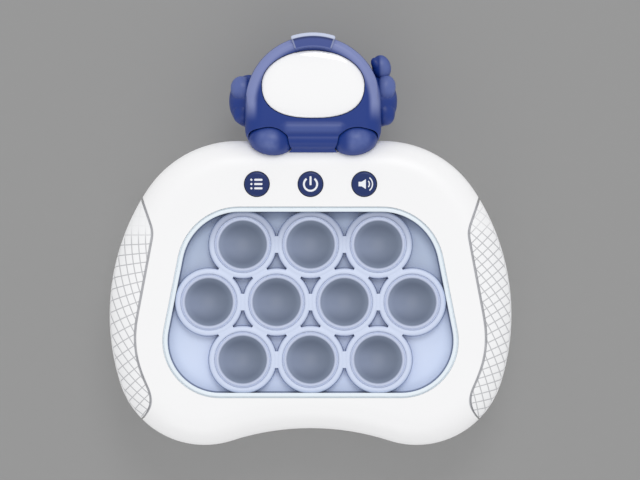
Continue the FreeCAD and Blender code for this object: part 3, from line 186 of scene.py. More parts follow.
# Each grip's grid: its rows' lean at y = 0 in radians, the change of the lean for each millimetre,
# both line spacings, the y at which it pales, and the share that it loses there
GRIP_GRID = {
    -1: (0.0206, -0.0121, 4.15, 3.0, 2.0, 0.9),
    1: (0.82, 0.00873, 3.3, 3.3, 4.0, 0.6),
}

# Helmet
HELMET_X = 1.1
HELMET_HALF = 28.8
HELMET_TOP = 85.9
DOME_Y = HELMET_TOP - HELMET_HALF
HELMET_BASE = 37.1
HELMET_BACK = 5.0
HELMET_FRONT = 42.0
HELMET_SPLIT = 24.0
HELMET_CORNER = 9.5
HELMET_ROLL = 8.0
HELMET_BACK_ROLL = 11.0
# Edges of the helmet sharper than this many degrees stay sharp
HELMET_CREASE = 50.0
# The helmet sits over the casing with this gap
SADDLE_GAP = 0.15
# Side of a cube that takes in the whole helmet
HELMET_CUBE = 100.0
# Melting of the helmet's clay: size of its cells and passes of smoothing
CLAY_CELL = 0.5
CLAY_PASSES = 5
VISOR_Y = 65.3
VISOR_HALF_WIDTH = 21.6
VISOR_HALF_HEIGHT = 14.2
VISOR_SEAT = 40.4
VISOR_RIM = 41.6
VISOR_CROWN = 1.9
VISOR_FULLNESS = 0.8
VISOR_GAP = 0.3
# Bores in the nape for the screws that join the two halves
JOINT_X = 16.0
JOINT_Y = 66.0
JOINT_Z = 4.0
JOINT_BORE = 2.3
JOINT_BORE_LENGTH = 20.0
# Rolled rim over the visor: its middle line from one end to the other, in degrees, and its ends,
# which start at a share of its thickness, swell at these rates and are sunk
RIM_RADIUS = 25.6
RIM_LEVEL = 39.9
RIM_THICK = 3.0
RIM_START = 192.0
RIM_END = -4.0
RIM_STEPS = 48
RIM_SEGMENTS = 28
RIM_END_SHARE = 0.35
RIM_SWELL = (6, 5)
RIM_END_SINK = 2.2
# Plate over the brow
CREST_HALF = 9.6
CREST_INNER = 23.6
CREST_OUTER = 30.0
CREST_LOW = 14.0
CREST_FRONT = 44.2
CREST_ROUND = 0.9
CREST_TURN = math.asin(CREST_HALF / CREST_OUTER)
# Rolls under the visor: height, level, thickness and half length
CHIN_ROLLS = [(46.8, 38.8, 4.0, 11.0), (41.7, 38.6, 3.6, 11.0), (38.3, 36.6, 2.2, 11.0)]
# Arms, hand and boots: middle, with x from the helmet's own, half sizes along X, Y and Z, and
# lean in degrees
LIMBS = [
    (-27.0, 58.4, 24.0, 8.6, 11.2, 8.6, 0),
    (-29.9, 63.4, 28.6, 4.9, 5.6, 4.9, 20),
    (-29.6, 53.6, 27.5, 4.4, 5.2, 4.9, -10),
    (27.0, 58.4, 24.0, 8.6, 11.2, 8.6, 0),
    (30.4, 63.6, 28.6, 4.4, 5.8, 4.9, -15),
    (30.2, 53.4, 27.5, 4.4, 5.4, 4.9, 10),
    (28.9, 72.6, 27.0, 4.0, 5.3, 3.9, 12),
    (26.6, 74.0, 28.6, 2.0, 2.9, 2.0, 25),
    (-17.8, 41.7, 35.5, 9.5, 6.7, 9.5, -11),
    (17.8, 41.7, 35.5, 9.5, 6.7, 9.5, 11),
]
# Creases pressed round the boots, in the same terms
CREASES = [
    (-17.8, 41.7, 38.0, 9.8, 7.0, 6.5, -11),
    (17.8, 41.7, 38.0, 9.8, 7.0, 6.5, 11),
]


# Drawing helpers
class Run:
    """A run of edges: straight stretches by extruding the last vertex, arcs by turning it."""

    def __init__(self, start, axis=(0, 0, 1)):
        self.mesh = bmesh.new()
        self.tip = self.mesh.verts.new(start)
        self.axis = axis

    def to(self, *point):
        made = bmesh.ops.extrude_vert_indiv(self.mesh, verts=[self.tip])
        self.tip = made["verts"][0]
        self.tip.co = Vector(point)
        return self

    def arc(self, centre, degrees, steps):
        made = bmesh.ops.spin(self.mesh, geom=[self.tip], cent=centre, axis=self.axis,
                              angle=math.radians(degrees), steps=steps)
        self.tip = next(part for part in made["geom_last"] if isinstance(part, bmesh.types.BMVert))
        return self

    def mirrored(self):
        """Close the run with its own mirror image across x = 0."""
        image = bmesh.ops.duplicate(self.mesh, geom=self.mesh.verts[:] + self.mesh.edges[:])
        verts = verts_of(image)
        bmesh.ops.transform(self.mesh, matrix=Matrix.Scale(-1, 4, (1, 0, 0)), verts=verts)
        bmesh.ops.remove_doubles(self.mesh, verts=self.mesh.verts[:], dist=2 * WELD)
        return self.mesh


def verts_of(made):
    """The vertices among what a drawing step has made."""
    return [part for part in made["geom"] if isinstance(part, bmesh.types.BMVert)]


def outward(mesh):
    """Turn every face to look out."""
    bmesh.ops.recalc_face_normals(mesh, faces=mesh.faces[:])


def moved(mesh, x, y, z):
    """Shift a whole mesh."""
    bmesh.ops.translate(mesh, verts=mesh.verts[:], vec=(x, y, z))
    return mesh


def lathe(run, steps, x, y):
    """Turn a run of (x, 0, z) points round the vertical axis, then move it to its place."""
    mesh = run.mesh
    bmesh.ops.spin(mesh, geom=mesh.verts[:] + mesh.edges[:], cent=(0, 0, 0), axis=(0, 0, 1),
                   angle=2 * math.pi, steps=steps, use_merge=True)
    bmesh.ops.remove_doubles(mesh, verts=mesh.verts[:], dist=WELD)
    outward(mesh)
    return moved(mesh, x, y, 0)


def filled(mesh):
    """Close an outline with one face that looks up."""
    face = bmesh.ops.edgeloop_fill(mesh, edges=mesh.edges[:])["faces"][0]
    face.normal_update()
    if face.normal.z < 0:
        face.normal_flip()
    return face


def rolled_block(mesh, low, high, radius, steps, low_radius=0.0, low_steps=0):
    """Raise an outline to a solid whose upper rim, and lower one if asked, rolls in by a radius."""
    base = filled(mesh)
    drop = low + low_radius - base.verts[0].co.z
    moved(mesh, 0, 0, drop)
    raised = bmesh.ops.extrude_face_region(mesh, geom=[base])
    top = next(part for part in raised["geom"] if isinstance(part, bmesh.types.BMFace))
    bmesh.ops.translate(mesh, verts=top.verts[:], vec=(0, 0, high - low - radius - low_radius))
    outward(mesh)
    roll_rim(mesh, top, radius, steps)
    if low_steps:
        roll_rim(mesh, base, low_radius, low_steps)
    outward(mesh)
    return mesh


def roll_rim(mesh, face, radius, steps):
    """Round a face's rim over by a quarter circle, in steps of an inset and a rise."""
    face.normal_update()
    for step in range(steps):
        start = math.pi / 2 * step / steps
        end = math.pi / 2 * (step + 1) / steps
        bmesh.ops.inset_region(mesh, faces=[face], use_even_offset=True, use_boundary=True,
                               thickness=radius * (math.cos(start) - math.cos(end)),
                               depth=radius * (math.sin(end) - math.sin(start)))


def as_object(name, mesh):
    """Put a mesh in the scene as an object of its own."""
    data = bpy.data.meshes.new(name)
    mesh.to_mesh(data)
    mesh.free()
    made = bpy.data.objects.new(name, data)
    bpy.context.scene.collection.objects.link(made)
    return made


def baked(thing):
    """An object's mesh as its modifiers leave it."""
    shaped = thing.evaluated_get(bpy.context.evaluated_depsgraph_get())
    result = bmesh.new()
    result.from_mesh(shaped.data)
    return result


def discard(thing):
    """Take a scratch object out of the scene, with its mesh."""
    data = thing.data
    bpy.data.objects.remove(thing)
    bpy.data.meshes.remove(data)


def joined(base, tool, operation, overlapping=False):
    """Two closed meshes taken together as UNION, DIFFERENCE or INTERSECT."""
    things = [as_object("operand", mesh) for mesh in (base, tool)]
    cut = things[0].modifiers.new("cut", "BOOLEAN")
    cut.operation = operation
    cut.solver = "EXACT"
    cut.use_self = overlapping
    cut.object = things[1]
    result = baked(things[0])
    for thing in things:
        discard(thing)
    bmesh.ops.remove_doubles(result, verts=result.verts[:], dist=WELD)
    bmesh.ops.dissolve_degenerate(result, edges=result.edges[:], dist=WELD)
    return result


def merged(first, *others):
    """Separate meshes put side by side in one."""
    for other in others:
        data = bpy.data.meshes.new("part")
        other.to_mesh(data)
        other.free()
        first.from_mesh(data)
        bpy.data.meshes.remove(data)
    return first


def piece(name, mesh, body, finish, stands_for=(), crease=38.0):
    """Finish a mesh: metres, creases, material, the body it moves with and what it replaces."""
    bmesh.ops.scale(mesh, vec=(MM, MM, MM), verts=mesh.verts[:])
    for face in mesh.faces:
        face.smooth = True
    for edge in mesh.edges:
        edge.smooth = edge.is_manifold and edge.calc_face_angle(0.0) < math.radians(crease)
    made = as_object(name, mesh)
    made.data.materials.append(finish.material)
    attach(made, body)
    if stands_for:
        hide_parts(*stands_for)


# Shader helpers
class Wire:
    """A socket that takes part in sums."""

    def __init__(self, sheet, socket):
        self.sheet = sheet
        self.socket = socket

    def __add__(self, other):
        return self.sheet.math("ADD", self, other)

    def __radd__(self, other):
        return self.sheet.math("ADD", other, self)

    def __sub__(self, other):
        return self.sheet.math("SUBTRACT", self, other)

    def __rsub__(self, other):
        return self.sheet.math("SUBTRACT", other, self)

    def __mul__(self, other):
        return self.sheet.math("MULTIPLY", self, other)

    def __rmul__(self, other):
        return self.sheet.math("MULTIPLY", other, self)

    def __abs__(self):
        return self.sheet.math("ABSOLUTE", self)


class Sheet:
    """A node tree and the nodes put on it."""

    def __init__(self, tree):
        self.tree = tree

    def node(self, kind, settings, inputs, output=0):
        node = self.tree.nodes.new(kind)
        for label, value in settings.items():
            setattr(node, label, value)
        for label, value in inputs.items():
            self.feed(node.inputs[label], value)
        return Wire(self, node.outputs[output])

    def feed(self, socket, value):
        if isinstance(value, Wire):
            self.tree.links.new(value.socket, socket)
        else:
            socket.default_value = value

    def math(self, operation, first, second=0.0, third=0.0):
        return self.node("ShaderNodeMath", {"operation": operation},
                         {0: first, 1: second, 2: third})

    def point(self):
        """The point on the piece, in the model's frame, in metres."""
        return self.node("ShaderNodeTexCoord", {}, {}, "Object")

    def split(self, vector):
        """The three parts of a vector."""
        parts = self.tree.nodes.new("ShaderNodeSeparateXYZ")
        self.feed(parts.inputs[0], vector)
        return [Wire(self, output) for output in parts.outputs]

    def place(self):
        """The point on the piece, in the model's frame, in millimetres: x, y, z."""
        return [part * (1 / MM) for part in self.split(self.point())]

    def noise(self, scale, detail):
        """Even noise from 0 to 1, with its scale in turns per metre."""
        return self.node("ShaderNodeTexNoise", {},
                         {"Vector": self.point(), "Scale": scale, "Detail": detail})

    def ramp(self, value, low, high):
        """0 below low, 1 above high, smooth between."""
        return self.node("ShaderNodeMapRange", {"interpolation_type": "SMOOTHSTEP"},
                         {"Value": value, "From Min": low, "From Max": high})

    def fall(self, value, low, high):
        """1 below low, 0 above high, smooth between."""
        return 1 - self.ramp(value, low, high)

    def blend(self, factor, first, second):
        mix = self.tree.nodes.new("ShaderNodeMix")
        mix.data_type = "RGBA"
        self.feed(mix.inputs["Factor"], factor)
        self.feed(mix.inputs[6], first)
        self.feed(mix.inputs[7], second)
        return Wire(self, mix.outputs[2])

    def seen(self):
        """1 for what the camera or a reflection sees, 0 for the light that falls on things."""
        rays = self.tree.nodes.new("ShaderNodeLightPath")
        return self.math("MAXIMUM", Wire(self, rays.outputs["Is Camera Ray"]),
                         Wire(self, rays.outputs["Is Glossy Ray"]))

    def show(self, output, share, first, second):
        """End the tree in a mix of two shaders."""
        mix = self.node("ShaderNodeMixShader", {}, {0: share, 1: first, 2: second})
        self.feed(self.tree.nodes[output].inputs["Surface"], mix)


class Paint(Sheet):
    """A finish: one Principled shader and the nodes that vary it."""

    def __init__(self, name, **sockets):
        self.material = bpy.data.materials.new(name)
        self.material.use_nodes = True
        super().__init__(self.material.node_tree)
        self.shader = self.tree.nodes["Principled BSDF"]
        for label, value in sockets.items():
            self.shader.inputs[label.replace("_", " ").title()].default_value = value

    def set(self, label, value):
        self.feed(self.shader.inputs[label], value)

    def bump(self, height, distance):
        """Relief in the light only, with its height in metres."""
        self.set("Normal", self.node("ShaderNodeBump", {}, {"Height": height, "Distance": distance,
                                                            "Strength": 1.0}))


def tint(red, green, blue):
    """A colour read off a screen, from 0 to 255, as the light it stands for."""
    def light(level):
        share = level / 255
        return share / 12.92 if share <= 0.04045 else ((share + 0.055) / 1.055) ** 2.4
    return (light(red), light(green), light(blue), 1.0)


def shade(colour, factor):
    return tuple(channel * factor for channel in colour[:3]) + (1.0,)


# Finishes
def plastic_skin(paint, roughness):
    """Uneven gloss and a fine grain."""
    paint.set("Roughness", roughness + 0.08 * (paint.noise(GLOSS_SCALE, 4.0) - 0.5))
    paint.bump(paint.noise(GRAIN_SCALE, 3.0), GRAIN_HEIGHT)


def moulded(name, colour, roughness, coat=0.0, cloud=0.04):
    """Moulded plastic with a faint cloud in the colour."""
    paint = Paint(name, coat_weight=coat, coat_roughness=0.08)
    paint.set("Base Color", paint.blend(paint.noise(CLOUD_SCALE, 3.0), shade(colour, 1 - cloud),
                                        shade(colour, 1 + cloud / 2)))
    plastic_skin(paint, roughness)
    return paint


def seam(paint, z, level):
    """1 on the hairline where two shells meet."""
    return paint.fall(abs(z - level), *HAIRLINE)


def casing_white():
    """White plastic: painted shade in the grips' grooves, and a dark hairline where shells meet."""
    paint = Paint("white_abs")
    x, y, z = paint.place()
    crown, flank, waist, heel = ((start - rate * level) + y * rate for start, level, rate in
                                 (GROOVE_CROWN, GROOVE_FLANK, GROOVE_WAIST, GROOVE_HEEL))
    groove = paint.math("SMOOTH_MIN", flank, waist, GROOVE_ROUNDS[0])
    groove = paint.math("SMOOTH_MAX", groove, crown, GROOVE_ROUNDS[1])
    groove = paint.math("SMOOTH_MAX", groove, heel, GROOVE_ROUNDS[2])
    # painted shade: the groove beside each grip is painted darker, as shade in it
    groove_painted_shade = paint.fall(abs(abs(x) - groove), *GROOVE_SHADE)
    shaded = paint.math("MAXIMUM", groove_painted_shade, seam(paint, z, PARTING))
    white = paint.blend(paint.noise(CLOUD_SCALE, 3.0), tint(246, 246, 247), tint(248, 248, 249))
    # the painted groove shade and the dark hairline both take this grey
    paint.set("Base Color", paint.blend(shaded, white, tint(196, 197, 201)))
    plastic_skin(paint, 0.4)
    return paint


def grid_lines(paint, first, second, first_step, second_step, width):
    """1 on the lines of a grid of two running measures, 0 between them."""
    masks = []
    for measure, step in ((first, first_step), (second, second_step)):
        share = paint.math("PINGPONG", measure, step / 2)
        masks.append(paint.fall(share, width * 0.35, width))
    return paint.math("MAXIMUM", masks[0], masks[1])


def grip_finish(name, side):
    """White grip with a fine engraved grid; its lines bend along the grip and hold painted shade.
    """
    start, rate, row_step, line_step, fade, lost = GRIP_GRID[side]
    paint = Paint(name, roughness=0.5)
    x, y, z = paint.place()
    across = x - side * GRIP_MIDDLE + paint.math("MAXIMUM", GRIP_UNROLL - z, 0.0) * side
    lean = start + rate * y
    climb = paint.math("SINE", lean)
    level = paint.math("COSINE", lean)
    rows = climb * (1 / rate) - across * climb
    lines = across * level - level * (1 / rate)
    grid = grid_lines(paint, rows, lines, row_step, line_step, GRIP_LINE)
    grid = grid * (1 - paint.ramp(y, fade - 4, fade + 4) * lost)
    grid = grid * paint.ramp(z, *GRIP_BACK_FADE)
    ground = paint.blend(paint.noise(30.0, 3.0), tint(243, 244, 246), tint(248, 248, 249))
    # painted shade: the engraved lines are painted darker, as shade in them
    paint.set("Base Color", paint.blend(grid * 0.8, ground, tint(180, 181, 185)))
    paint.set("Roughness", 0.46 + 0.1 * paint.noise(150.0, 3.0))
    paint.bump(paint.noise(GRAIN_SCALE, 3.0) * 0.15 - grid, 0.00008)
    return paint


def dished_silicone():
    """Smoky silicone: dark bowl, light rolled rim, painted shade and light on bowl and ledge."""
    paint = Paint("bubble_silicone")
    plan = paint.split(paint.node("ShaderNodeUVMap", {"uv_map": KEY_UV}, {}))
    across, along = ((share - 0.5) * (2 * KEY_FLANGE) for share in plan[:2])
    reach = paint.math("SQRT", across * across + along * along)
    # painted shade: the bowl is darker towards one side, as light falls across it
    painted_side_shade = paint.ramp(across * 0.8 + along * 0.45 + 3.0 * paint.noise(60.0, 2.0), -9.0, 9.0)
    bowl = paint.blend(painted_side_shade, tint(141, 152, 178), tint(118, 129, 149))
    # painted shade towards the bowl's upper and lower ends
    painted_end_shade = paint.ramp(abs(along + 0.3), 1.2, 8.6) * 0.72
    bowl = paint.blend(painted_end_shade, bowl, tint(92, 104, 126))
    # painted light in the bowl's middle
    painted_middle_light = paint.fall(reach, 0.4, 4.2) * 0.22
    bowl = paint.blend(painted_middle_light, bowl, tint(156, 163, 180))
    # painted light on the bowl's wall towards the rim
    painted_rim_light = paint.ramp(reach, 7.4, 10.4) * 0.32
    bowl = paint.blend(painted_rim_light, bowl, tint(170, 182, 205))
    # painted light on the rim's outer part and the ledge, against the shade in the gap
    painted_ledge_light = paint.ramp(reach, KEY_RADIUS - 0.4, KEY_RADIUS)
    lip = paint.blend(painted_ledge_light, tint(197, 206, 229), tint(216, 225, 246))
    dish = KEY_RADIUS - KEY_RIM
    paint.set("Base Color", paint.blend(paint.ramp(reach, dish - 0.35, dish + 0.15), bowl, lip))
    paint.set("Roughness", 0.56 + 0.08 * paint.noise(200.0, 3.0))
    paint.bump(paint.noise(700.0, 2.0), GRAIN_HEIGHT)
    return paint


def helmet_finish():
    """Deep blue plastic, with painted light on the rim over the visor, limbs, chin and crest's
    edge.
    """
    paint = Paint("helmet_blue", coat_weight=0.1, coat_roughness=0.35)
    x, y, z = paint.place()
    across = x - HELMET_X
    aside = abs(across)
    along = paint.math("MAXIMUM", y - DOME_Y, 0.0)
    reach = paint.math("SQRT", across * across + along * along)
    # Masks, each 1 where its paint goes
    brow = paint.ramp(y, 78.0, 79.0)
    # painted highlight on the rolled rim over the visor
    rim = (paint.ramp(reach, RIM_RADIUS - 2.6, RIM_RADIUS - 0.2) * paint.ramp(y, 49.0, 58.0)
           * paint.ramp(z, 35.0, 39.5))
    # painted light on the upper arms, the boots' toes and a band of the chin
    painted_arm_light = paint.ramp(aside, 27.6, 29.0) * paint.ramp(y, 58.0, 63.0) * paint.ramp(z, 26.0, 31.0)
    painted_toe_light = paint.ramp(z, 41.0, 44.5) * paint.ramp(aside, 13.0, 17.0) * paint.fall(y, 46.0, 48.0)
    chin = paint.ramp(y, 44.4, 46.2) * paint.fall(y, 47.8, 49.2) * paint.fall(aside, 9.0, 15.0)
    crest_end = aside * math.cos(CREST_TURN) - along * math.sin(CREST_TURN)
    # painted highlight along the crest's outer edge and, fainter, its ends
    painted_crest_highlight = paint.math("MAXIMUM", paint.ramp(reach, CREST_OUTER - 1.7, CREST_OUTER - 1.2),
                            paint.ramp(crest_end, -0.8, -0.5) * 0.45)
    # painted shade in a line just inside the crest's highlighted edge
    painted_crest_shade = paint.ramp(reach, CREST_OUTER - 2.8, CREST_OUTER - 1.9)
    on_crest = (paint.ramp(z, CREST_FRONT - 1.2, CREST_FRONT - 0.9) * brow
                * paint.ramp(reach, CREST_INNER + 0.7, CREST_INNER + 1.2))
    base = paint.blend(paint.noise(CLOUD_SCALE, 3.0), tint(12, 50, 132), tint(18, 56, 140))
    # painted light on the arms, toes and chin
    lit = paint.math("MAXIMUM", painted_arm_light * 0.6, painted_toe_light * (0.25 + 0.5 * paint.noise(300.0, 2.0)))
    lit = paint.math("MAXIMUM", lit, chin * 0.3)
    painted = paint.blend(lit, base, tint(112, 128, 186))
    # painted highlight on the rim, off the crest
    painted = paint.blend(rim * (1 - on_crest) * 0.95, painted, tint(128, 139, 190))
    crest_face = paint.blend(painted_crest_shade, tint(70, 86, 152), tint(38, 54, 108))
    painted = paint.blend(on_crest * 0.9, painted, crest_face)
    parting = seam(paint, z, HELMET_SPLIT) * (1 - brow)
    painted = paint.blend(parting, painted, tint(16, 28, 78))
    # painted highlight on the crest's edge
    paint.set("Base Color", paint.blend(on_crest * painted_crest_highlight, painted, tint(196, 204, 228)))
    plastic_skin(paint, 0.46)
    return paint


def wall_gap(paint, x, y):
    """How far a point lies in from the bezel's inner wall, round its corners too."""
    lean = math.tan(WINDOW_TILT)
    half = WINDOW_HALF + LATTICE_Y * lean - BEZEL_INNER / math.cos(WINDOW_TILT)
    side = (half - abs(x) - y * lean) * math.cos(WINDOW_TILT)
    # The way in from the upper and the lower edge, the corners' radius there, and their skew
    upper = (WINDOW_TOP - BEZEL_INNER - y, WINDOW_TOP_ROUND - BEZEL_INNER, math.sin(WINDOW_TILT))
    lower = (y + (WINDOW_DROP - BEZEL_INNER), WINDOW_LOW_ROUND - BEZEL_INNER,
             -math.sin(WINDOW_TILT))
    gaps = []
    for edge, radius, skew in (upper, lower):
        first = paint.math("MAXIMUM", radius - side, (radius - edge) * skew)
        second = paint.math("MAXIMUM", radius - edge, (radius - side) * skew)
        reach = paint.math("SQRT", first * first + second * second - first * second * (2 * skew))
        gaps.append(radius - reach * (1 / math.cos(WINDOW_TILT)))
    return paint.math("MINIMUM", gaps[0], gaps[1])


def panel_finish():
    """Periwinkle plastic: pale ring crests, and painted shade that deepens to the wall and the top.
    """
    paint = Paint("panel_blue")
    x, y, z = paint.place()
    gap = wall_gap(paint, x, y)
    # upper: 1 towards the window's top, where the painted shadow falls
    upper = paint.ramp(y, -8.0, 12.0)
    # painted shadow on the ring crests towards the top
    crest_with_painted_shadow = paint.blend(upper * 0.8, tint(210, 220, 243), tint(146, 155, 180))
    on_crest = paint.ramp(z, RING_TOP - 1.5, RING_TOP - 0.5)
    # the rings' walls are painted darker, as shade
    rings = paint.blend(on_crest, tint(148, 159, 190), crest_with_painted_shadow)
    plate = paint.blend(paint.noise(40.0, 3.0), tint(210, 222, 249), tint(218, 229, 252))
    # painted shade on the plate, deepening towards the top
    plate = paint.blend(paint.ramp(y, -60.0, 10.0) * 0.9, plate, tint(170, 183, 206))
    # painted shade near the bezel's wall, and a darker painted line at its foot
    painted_wall_shade = paint.fall(gap, 0.0, 5.0) * (0.2 + 0.4 * upper)
    painted_wall_line = paint.fall(gap, 0.2, 1.1)
    plate = paint.blend(paint.math("MAXIMUM", painted_wall_shade, painted_wall_line), plate, tint(106, 118, 150))
    off_plate = paint.ramp(z, PANEL_TOP + 0.05, PANEL_TOP + 0.15)
    paint.set("Base Color", paint.blend(off_plate, plate, rings))
    plastic_skin(paint, 0.44)
    return paint


def board_lacquer():
    """Green solder mask over faint copper tracks."""
    paint = Paint("circuit_green", coat_weight=0.3)
    x, y, _ = paint.place()
    tracks = grid_lines(paint, x + y * 0.02, y, 2.4, 3.1, 0.5)
    paint.set("Base Color", paint.blend(tracks * 0.5, tint(16, 84, 48), tint(38, 118, 70)))
    paint.set("Roughness", 0.3 + 0.1 * paint.noise(300.0, 3.0))
    paint.bump(tracks, 0.00003)
    return paint


def turned_metal(name, colour, roughness):
    """Metal with a fine uneven polish."""
    paint = Paint(name, metallic=1.0)
    paint.set("Base Color", paint.blend(paint.noise(200.0, 4.0), shade(colour, 0.88), colour))
    paint.set("Roughness", roughness + 0.14 * (paint.noise(GRAIN_SCALE, 4.0) - 0.5))
    paint.bump(paint.noise(2500.0, 2.0), 0.00001)
    return paint


def foam():
    """Open-cell foam: dark pores between pale struts."""
    paint = Paint("foam_grey", roughness=0.95)
    cells = paint.node("ShaderNodeTexVoronoi", {}, {"Vector": paint.point(), "Scale": 1600.0},
                       "Distance")
    pores = paint.fall(cells, 0.15, 0.5)
    paint.set("Base Color", paint.blend(pores, tint(118, 118, 122), tint(58, 58, 62)))
    paint.bump(cells, 0.0003)
    return paint


def pressed_paper():
    """Black pressed paper with a felt of short fibres."""
    paint = Paint("paper_cone", roughness=0.85)
    felt = paint.noise(1400.0, 5.0)
    paint.set("Base Color", paint.blend(felt, tint(30, 30, 32), tint(58, 58, 58)))
    paint.bump(felt, 0.00006)
    return paint


# Outlines
def rounded_outline(corners, steps):
    """A closed outline through (x, y, radius) corners, each turned by an arc of its radius."""
    run = None
    for index, (x, y, radius) in enumerate(corners):
        corner = Vector((x, y, 0))
        before = (Vector((*corners[index - 1][:2], 0)) - corner).normalized()
        after = (Vector((*corners[(index + 1) % len(corners)][:2], 0)) - corner).normalized()
        half = before.angle(after) / 2
        start = corner + before * (radius / math.tan(half))
        centre = corner + (before + after).normalized() * (radius / math.sin(half))
        turn = math.copysign(180 - math.degrees(2 * half), after.cross(before).z)
        run = run.to(*start) if run else Run(start)
        run.arc(centre, turn, steps)
    run.mesh.verts.ensure_lookup_table()
    run.mesh.edges.new((run.tip, run.mesh.verts[0]))
    return run.mesh


def window_outline(inset):
    """The window's rounded trapezoid, drawn inset from its groove."""
    lean = math.tan(WINDOW_TILT)
    top = WINDOW_TOP - inset
    bottom = inset - WINDOW_DROP
    side = WINDOW_HALF + LATTICE_Y * lean - inset / math.cos(WINDOW_TILT)
    low_x = side - bottom * lean
    top_x = side - top * lean
    low_round = WINDOW_LOW_ROUND - inset
    top_round = WINDOW_TOP_ROUND - inset
    return rounded_outline([(-low_x, bottom, low_round), (low_x, bottom, low_round),
                            (top_x, top, top_round), (-top_x, top, top_round)], WINDOW_STEPS)


def casing_outline(inset):
    """The casing's plan: brow, shoulder, side, lobe and arch, and their mirror image."""
    side_x = CASE_WIDTH / 2 - SIDE_RADIUS
    shoulder_y = CASE_TOP - SHOULDER_RADIUS
    lobe_y = LOBE_RADIUS - HALF_HEIGHT
    shoulder_x = side_x + math.sqrt((SIDE_RADIUS - SHOULDER_RADIUS) ** 2
                                    - (shoulder_y + SIDE_DROP) ** 2)
    lobe_x = side_x + math.sqrt((SIDE_RADIUS - LOBE_RADIUS) ** 2 - (lobe_y + SIDE_DROP) ** 2)
    rise = lobe_y + ARCH_DROP
    arch = (lobe_x ** 2 + rise ** 2 - LOBE_RADIUS ** 2) / (2 * (LOBE_RADIUS - rise))
    arch_y = -ARCH_DROP - arch
    shoulder_end = math.degrees(math.atan2(shoulder_y + SIDE_DROP, shoulder_x - side_x))
    side_end = math.degrees(math.atan2(lobe_y + SIDE_DROP, lobe_x - side_x))
    arch_start = math.degrees(math.atan2(lobe_y - arch_y, lobe_x))
    run = Run((0, CASE_TOP - inset, 0)).to(shoulder_x, CASE_TOP - inset, 0)
    run.arc((shoulder_x, shoulder_y, 0), shoulder_end - 90, 22)
    run.arc((side_x, -SIDE_DROP, 0), side_end - shoulder_end, 30)
    run.arc((lobe_x, lobe_y, 0), arch_start - 180 - side_end, 30)
    run.arc((0, arch_y, 0), 90 - arch_start, 8)
    return run.mirrored()


def block(mesh, low, high):
    """An outline raised to a plain block."""
    return rolled_block(mesh, low, high, 0.0, 0)


def banded(outline, profile):
    """A closed band: the outline at each (inset, level) of a profile, bridged one to the next."""
    mesh = bmesh.new()
    loops = []
    for inset, level in profile:
        ring = outline(inset)
        moved(ring, 0, 0, level)
        known = len(mesh.edges)
        merged(mesh, ring)
        mesh.edges.ensure_lookup_table()
        loops.append(mesh.edges[known:])
    for first, second in zip(loops, loops[1:] + loops[:1]):
        bmesh.ops.bridge_loops(mesh, edges=first + second)
    outward(mesh)
    return mesh


def add_pin(mesh, place, radius, length, segments):
    """Add an upright pin with flat ends to a mesh."""
    bmesh.ops.create_cone(mesh, cap_ends=True, segments=segments, radius1=radius, radius2=radius,
                          depth=length, matrix=Matrix.Translation(place))


def egg(x, y, z, wide, tall, deep, lean=0.0):
    """An egg by its middle and its three half sizes, leant about its upright axis."""
    mesh = bmesh.new()
    shape = (Matrix.Translation((x, y, z)) @ Matrix.Rotation(math.radians(lean), 4, "Z")
             @ Matrix.Diagonal((wide, tall, deep, 1)))
    bmesh.ops.create_uvsphere(mesh, u_segments=48, v_segments=24, radius=1, matrix=shape)
    return mesh


def roller(start, end, radius):
    """A round bar with domed ends."""
    start, end = Vector(start), Vector(end)
    mesh = bmesh.new()
    for point in (start, end):
        bmesh.ops.create_uvsphere(mesh, u_segments=32, v_segments=16, radius=radius,
                                  matrix=Matrix.Translation(point))
    turn = (end - start).to_track_quat("Z", "Y").to_matrix().to_4x4()
    bmesh.ops.create_cone(mesh, cap_ends=True, segments=32, radius1=radius, radius2=radius,
                          depth=(end - start).length,
                          matrix=Matrix.Translation((start + end) / 2) @ turn)
    return mesh


def hoop(stations):
    """A tube through (centre, heading, radius) stations."""
    mesh = bmesh.new()
    loops = []
    for centre, heading, radius in stations:
        turn = Vector(heading).to_track_quat("Z", "Y").to_matrix().to_4x4()
        known = len(mesh.edges)
        bmesh.ops.create_circle(mesh, segments=RIM_SEGMENTS, radius=radius,
                                matrix=Matrix.Translation(centre) @ turn)
        mesh.edges.ensure_lookup_table()
        loops.append(mesh.edges[known:])
    for first, second in zip(loops, loops[1:]):
        bmesh.ops.bridge_loops(mesh, edges=first + second)
    for loop in (loops[0], loops[-1]):
        bmesh.ops.edgeloop_fill(mesh, edges=loop)
    outward(mesh)
    return mesh


def softened(mesh):
    """Overlapping solids melted into one skin, with soft creases where they meet."""
    thing = as_object("clay", mesh)
    melt = thing.modifiers.new("melt", "REMESH")
    melt.mode = "VOXEL"
    melt.voxel_size = CLAY_CELL
    ease = thing.modifiers.new("ease", "SMOOTH")
    ease.factor = 0.5
    ease.iterations = CLAY_PASSES
    result = baked(thing)
    discard(thing)
    return result


# Window: bezel, lattice and bubble keys
def bezel():
    """The pale band round the window, with rounded edges and its hidden flange."""
    profile = [(BEZEL_INNER, PANEL_TOP), (BEZEL_INSET, PANEL_TOP), (BEZEL_INSET, BEZEL_FLANGE_LOW),
               (-BEZEL_FLANGE, BEZEL_FLANGE_LOW), (-BEZEL_FLANGE, BEZEL_FLANGE_TOP),
               (-BEZEL_LEDGE, BEZEL_FLANGE_TOP), (-BEZEL_LEDGE, BEZEL_LEDGE_TOP),
               (BEZEL_INSET, BEZEL_LEDGE_TOP)]
    quarter = [(BEZEL_ROUND * (1 - math.cos(math.pi / 2 * step / BEZEL_STEPS)),
                FACE - BEZEL_ROUND * (1 - math.sin(math.pi / 2 * step / BEZEL_STEPS)))
               for step in range(BEZEL_STEPS + 1)]
    profile += [(BEZEL_INSET + inset, level) for inset, level in quarter]
    profile += [(BEZEL_INNER - inset, level) for inset, level in reversed(quarter)]
    return banded(window_outline, profile)


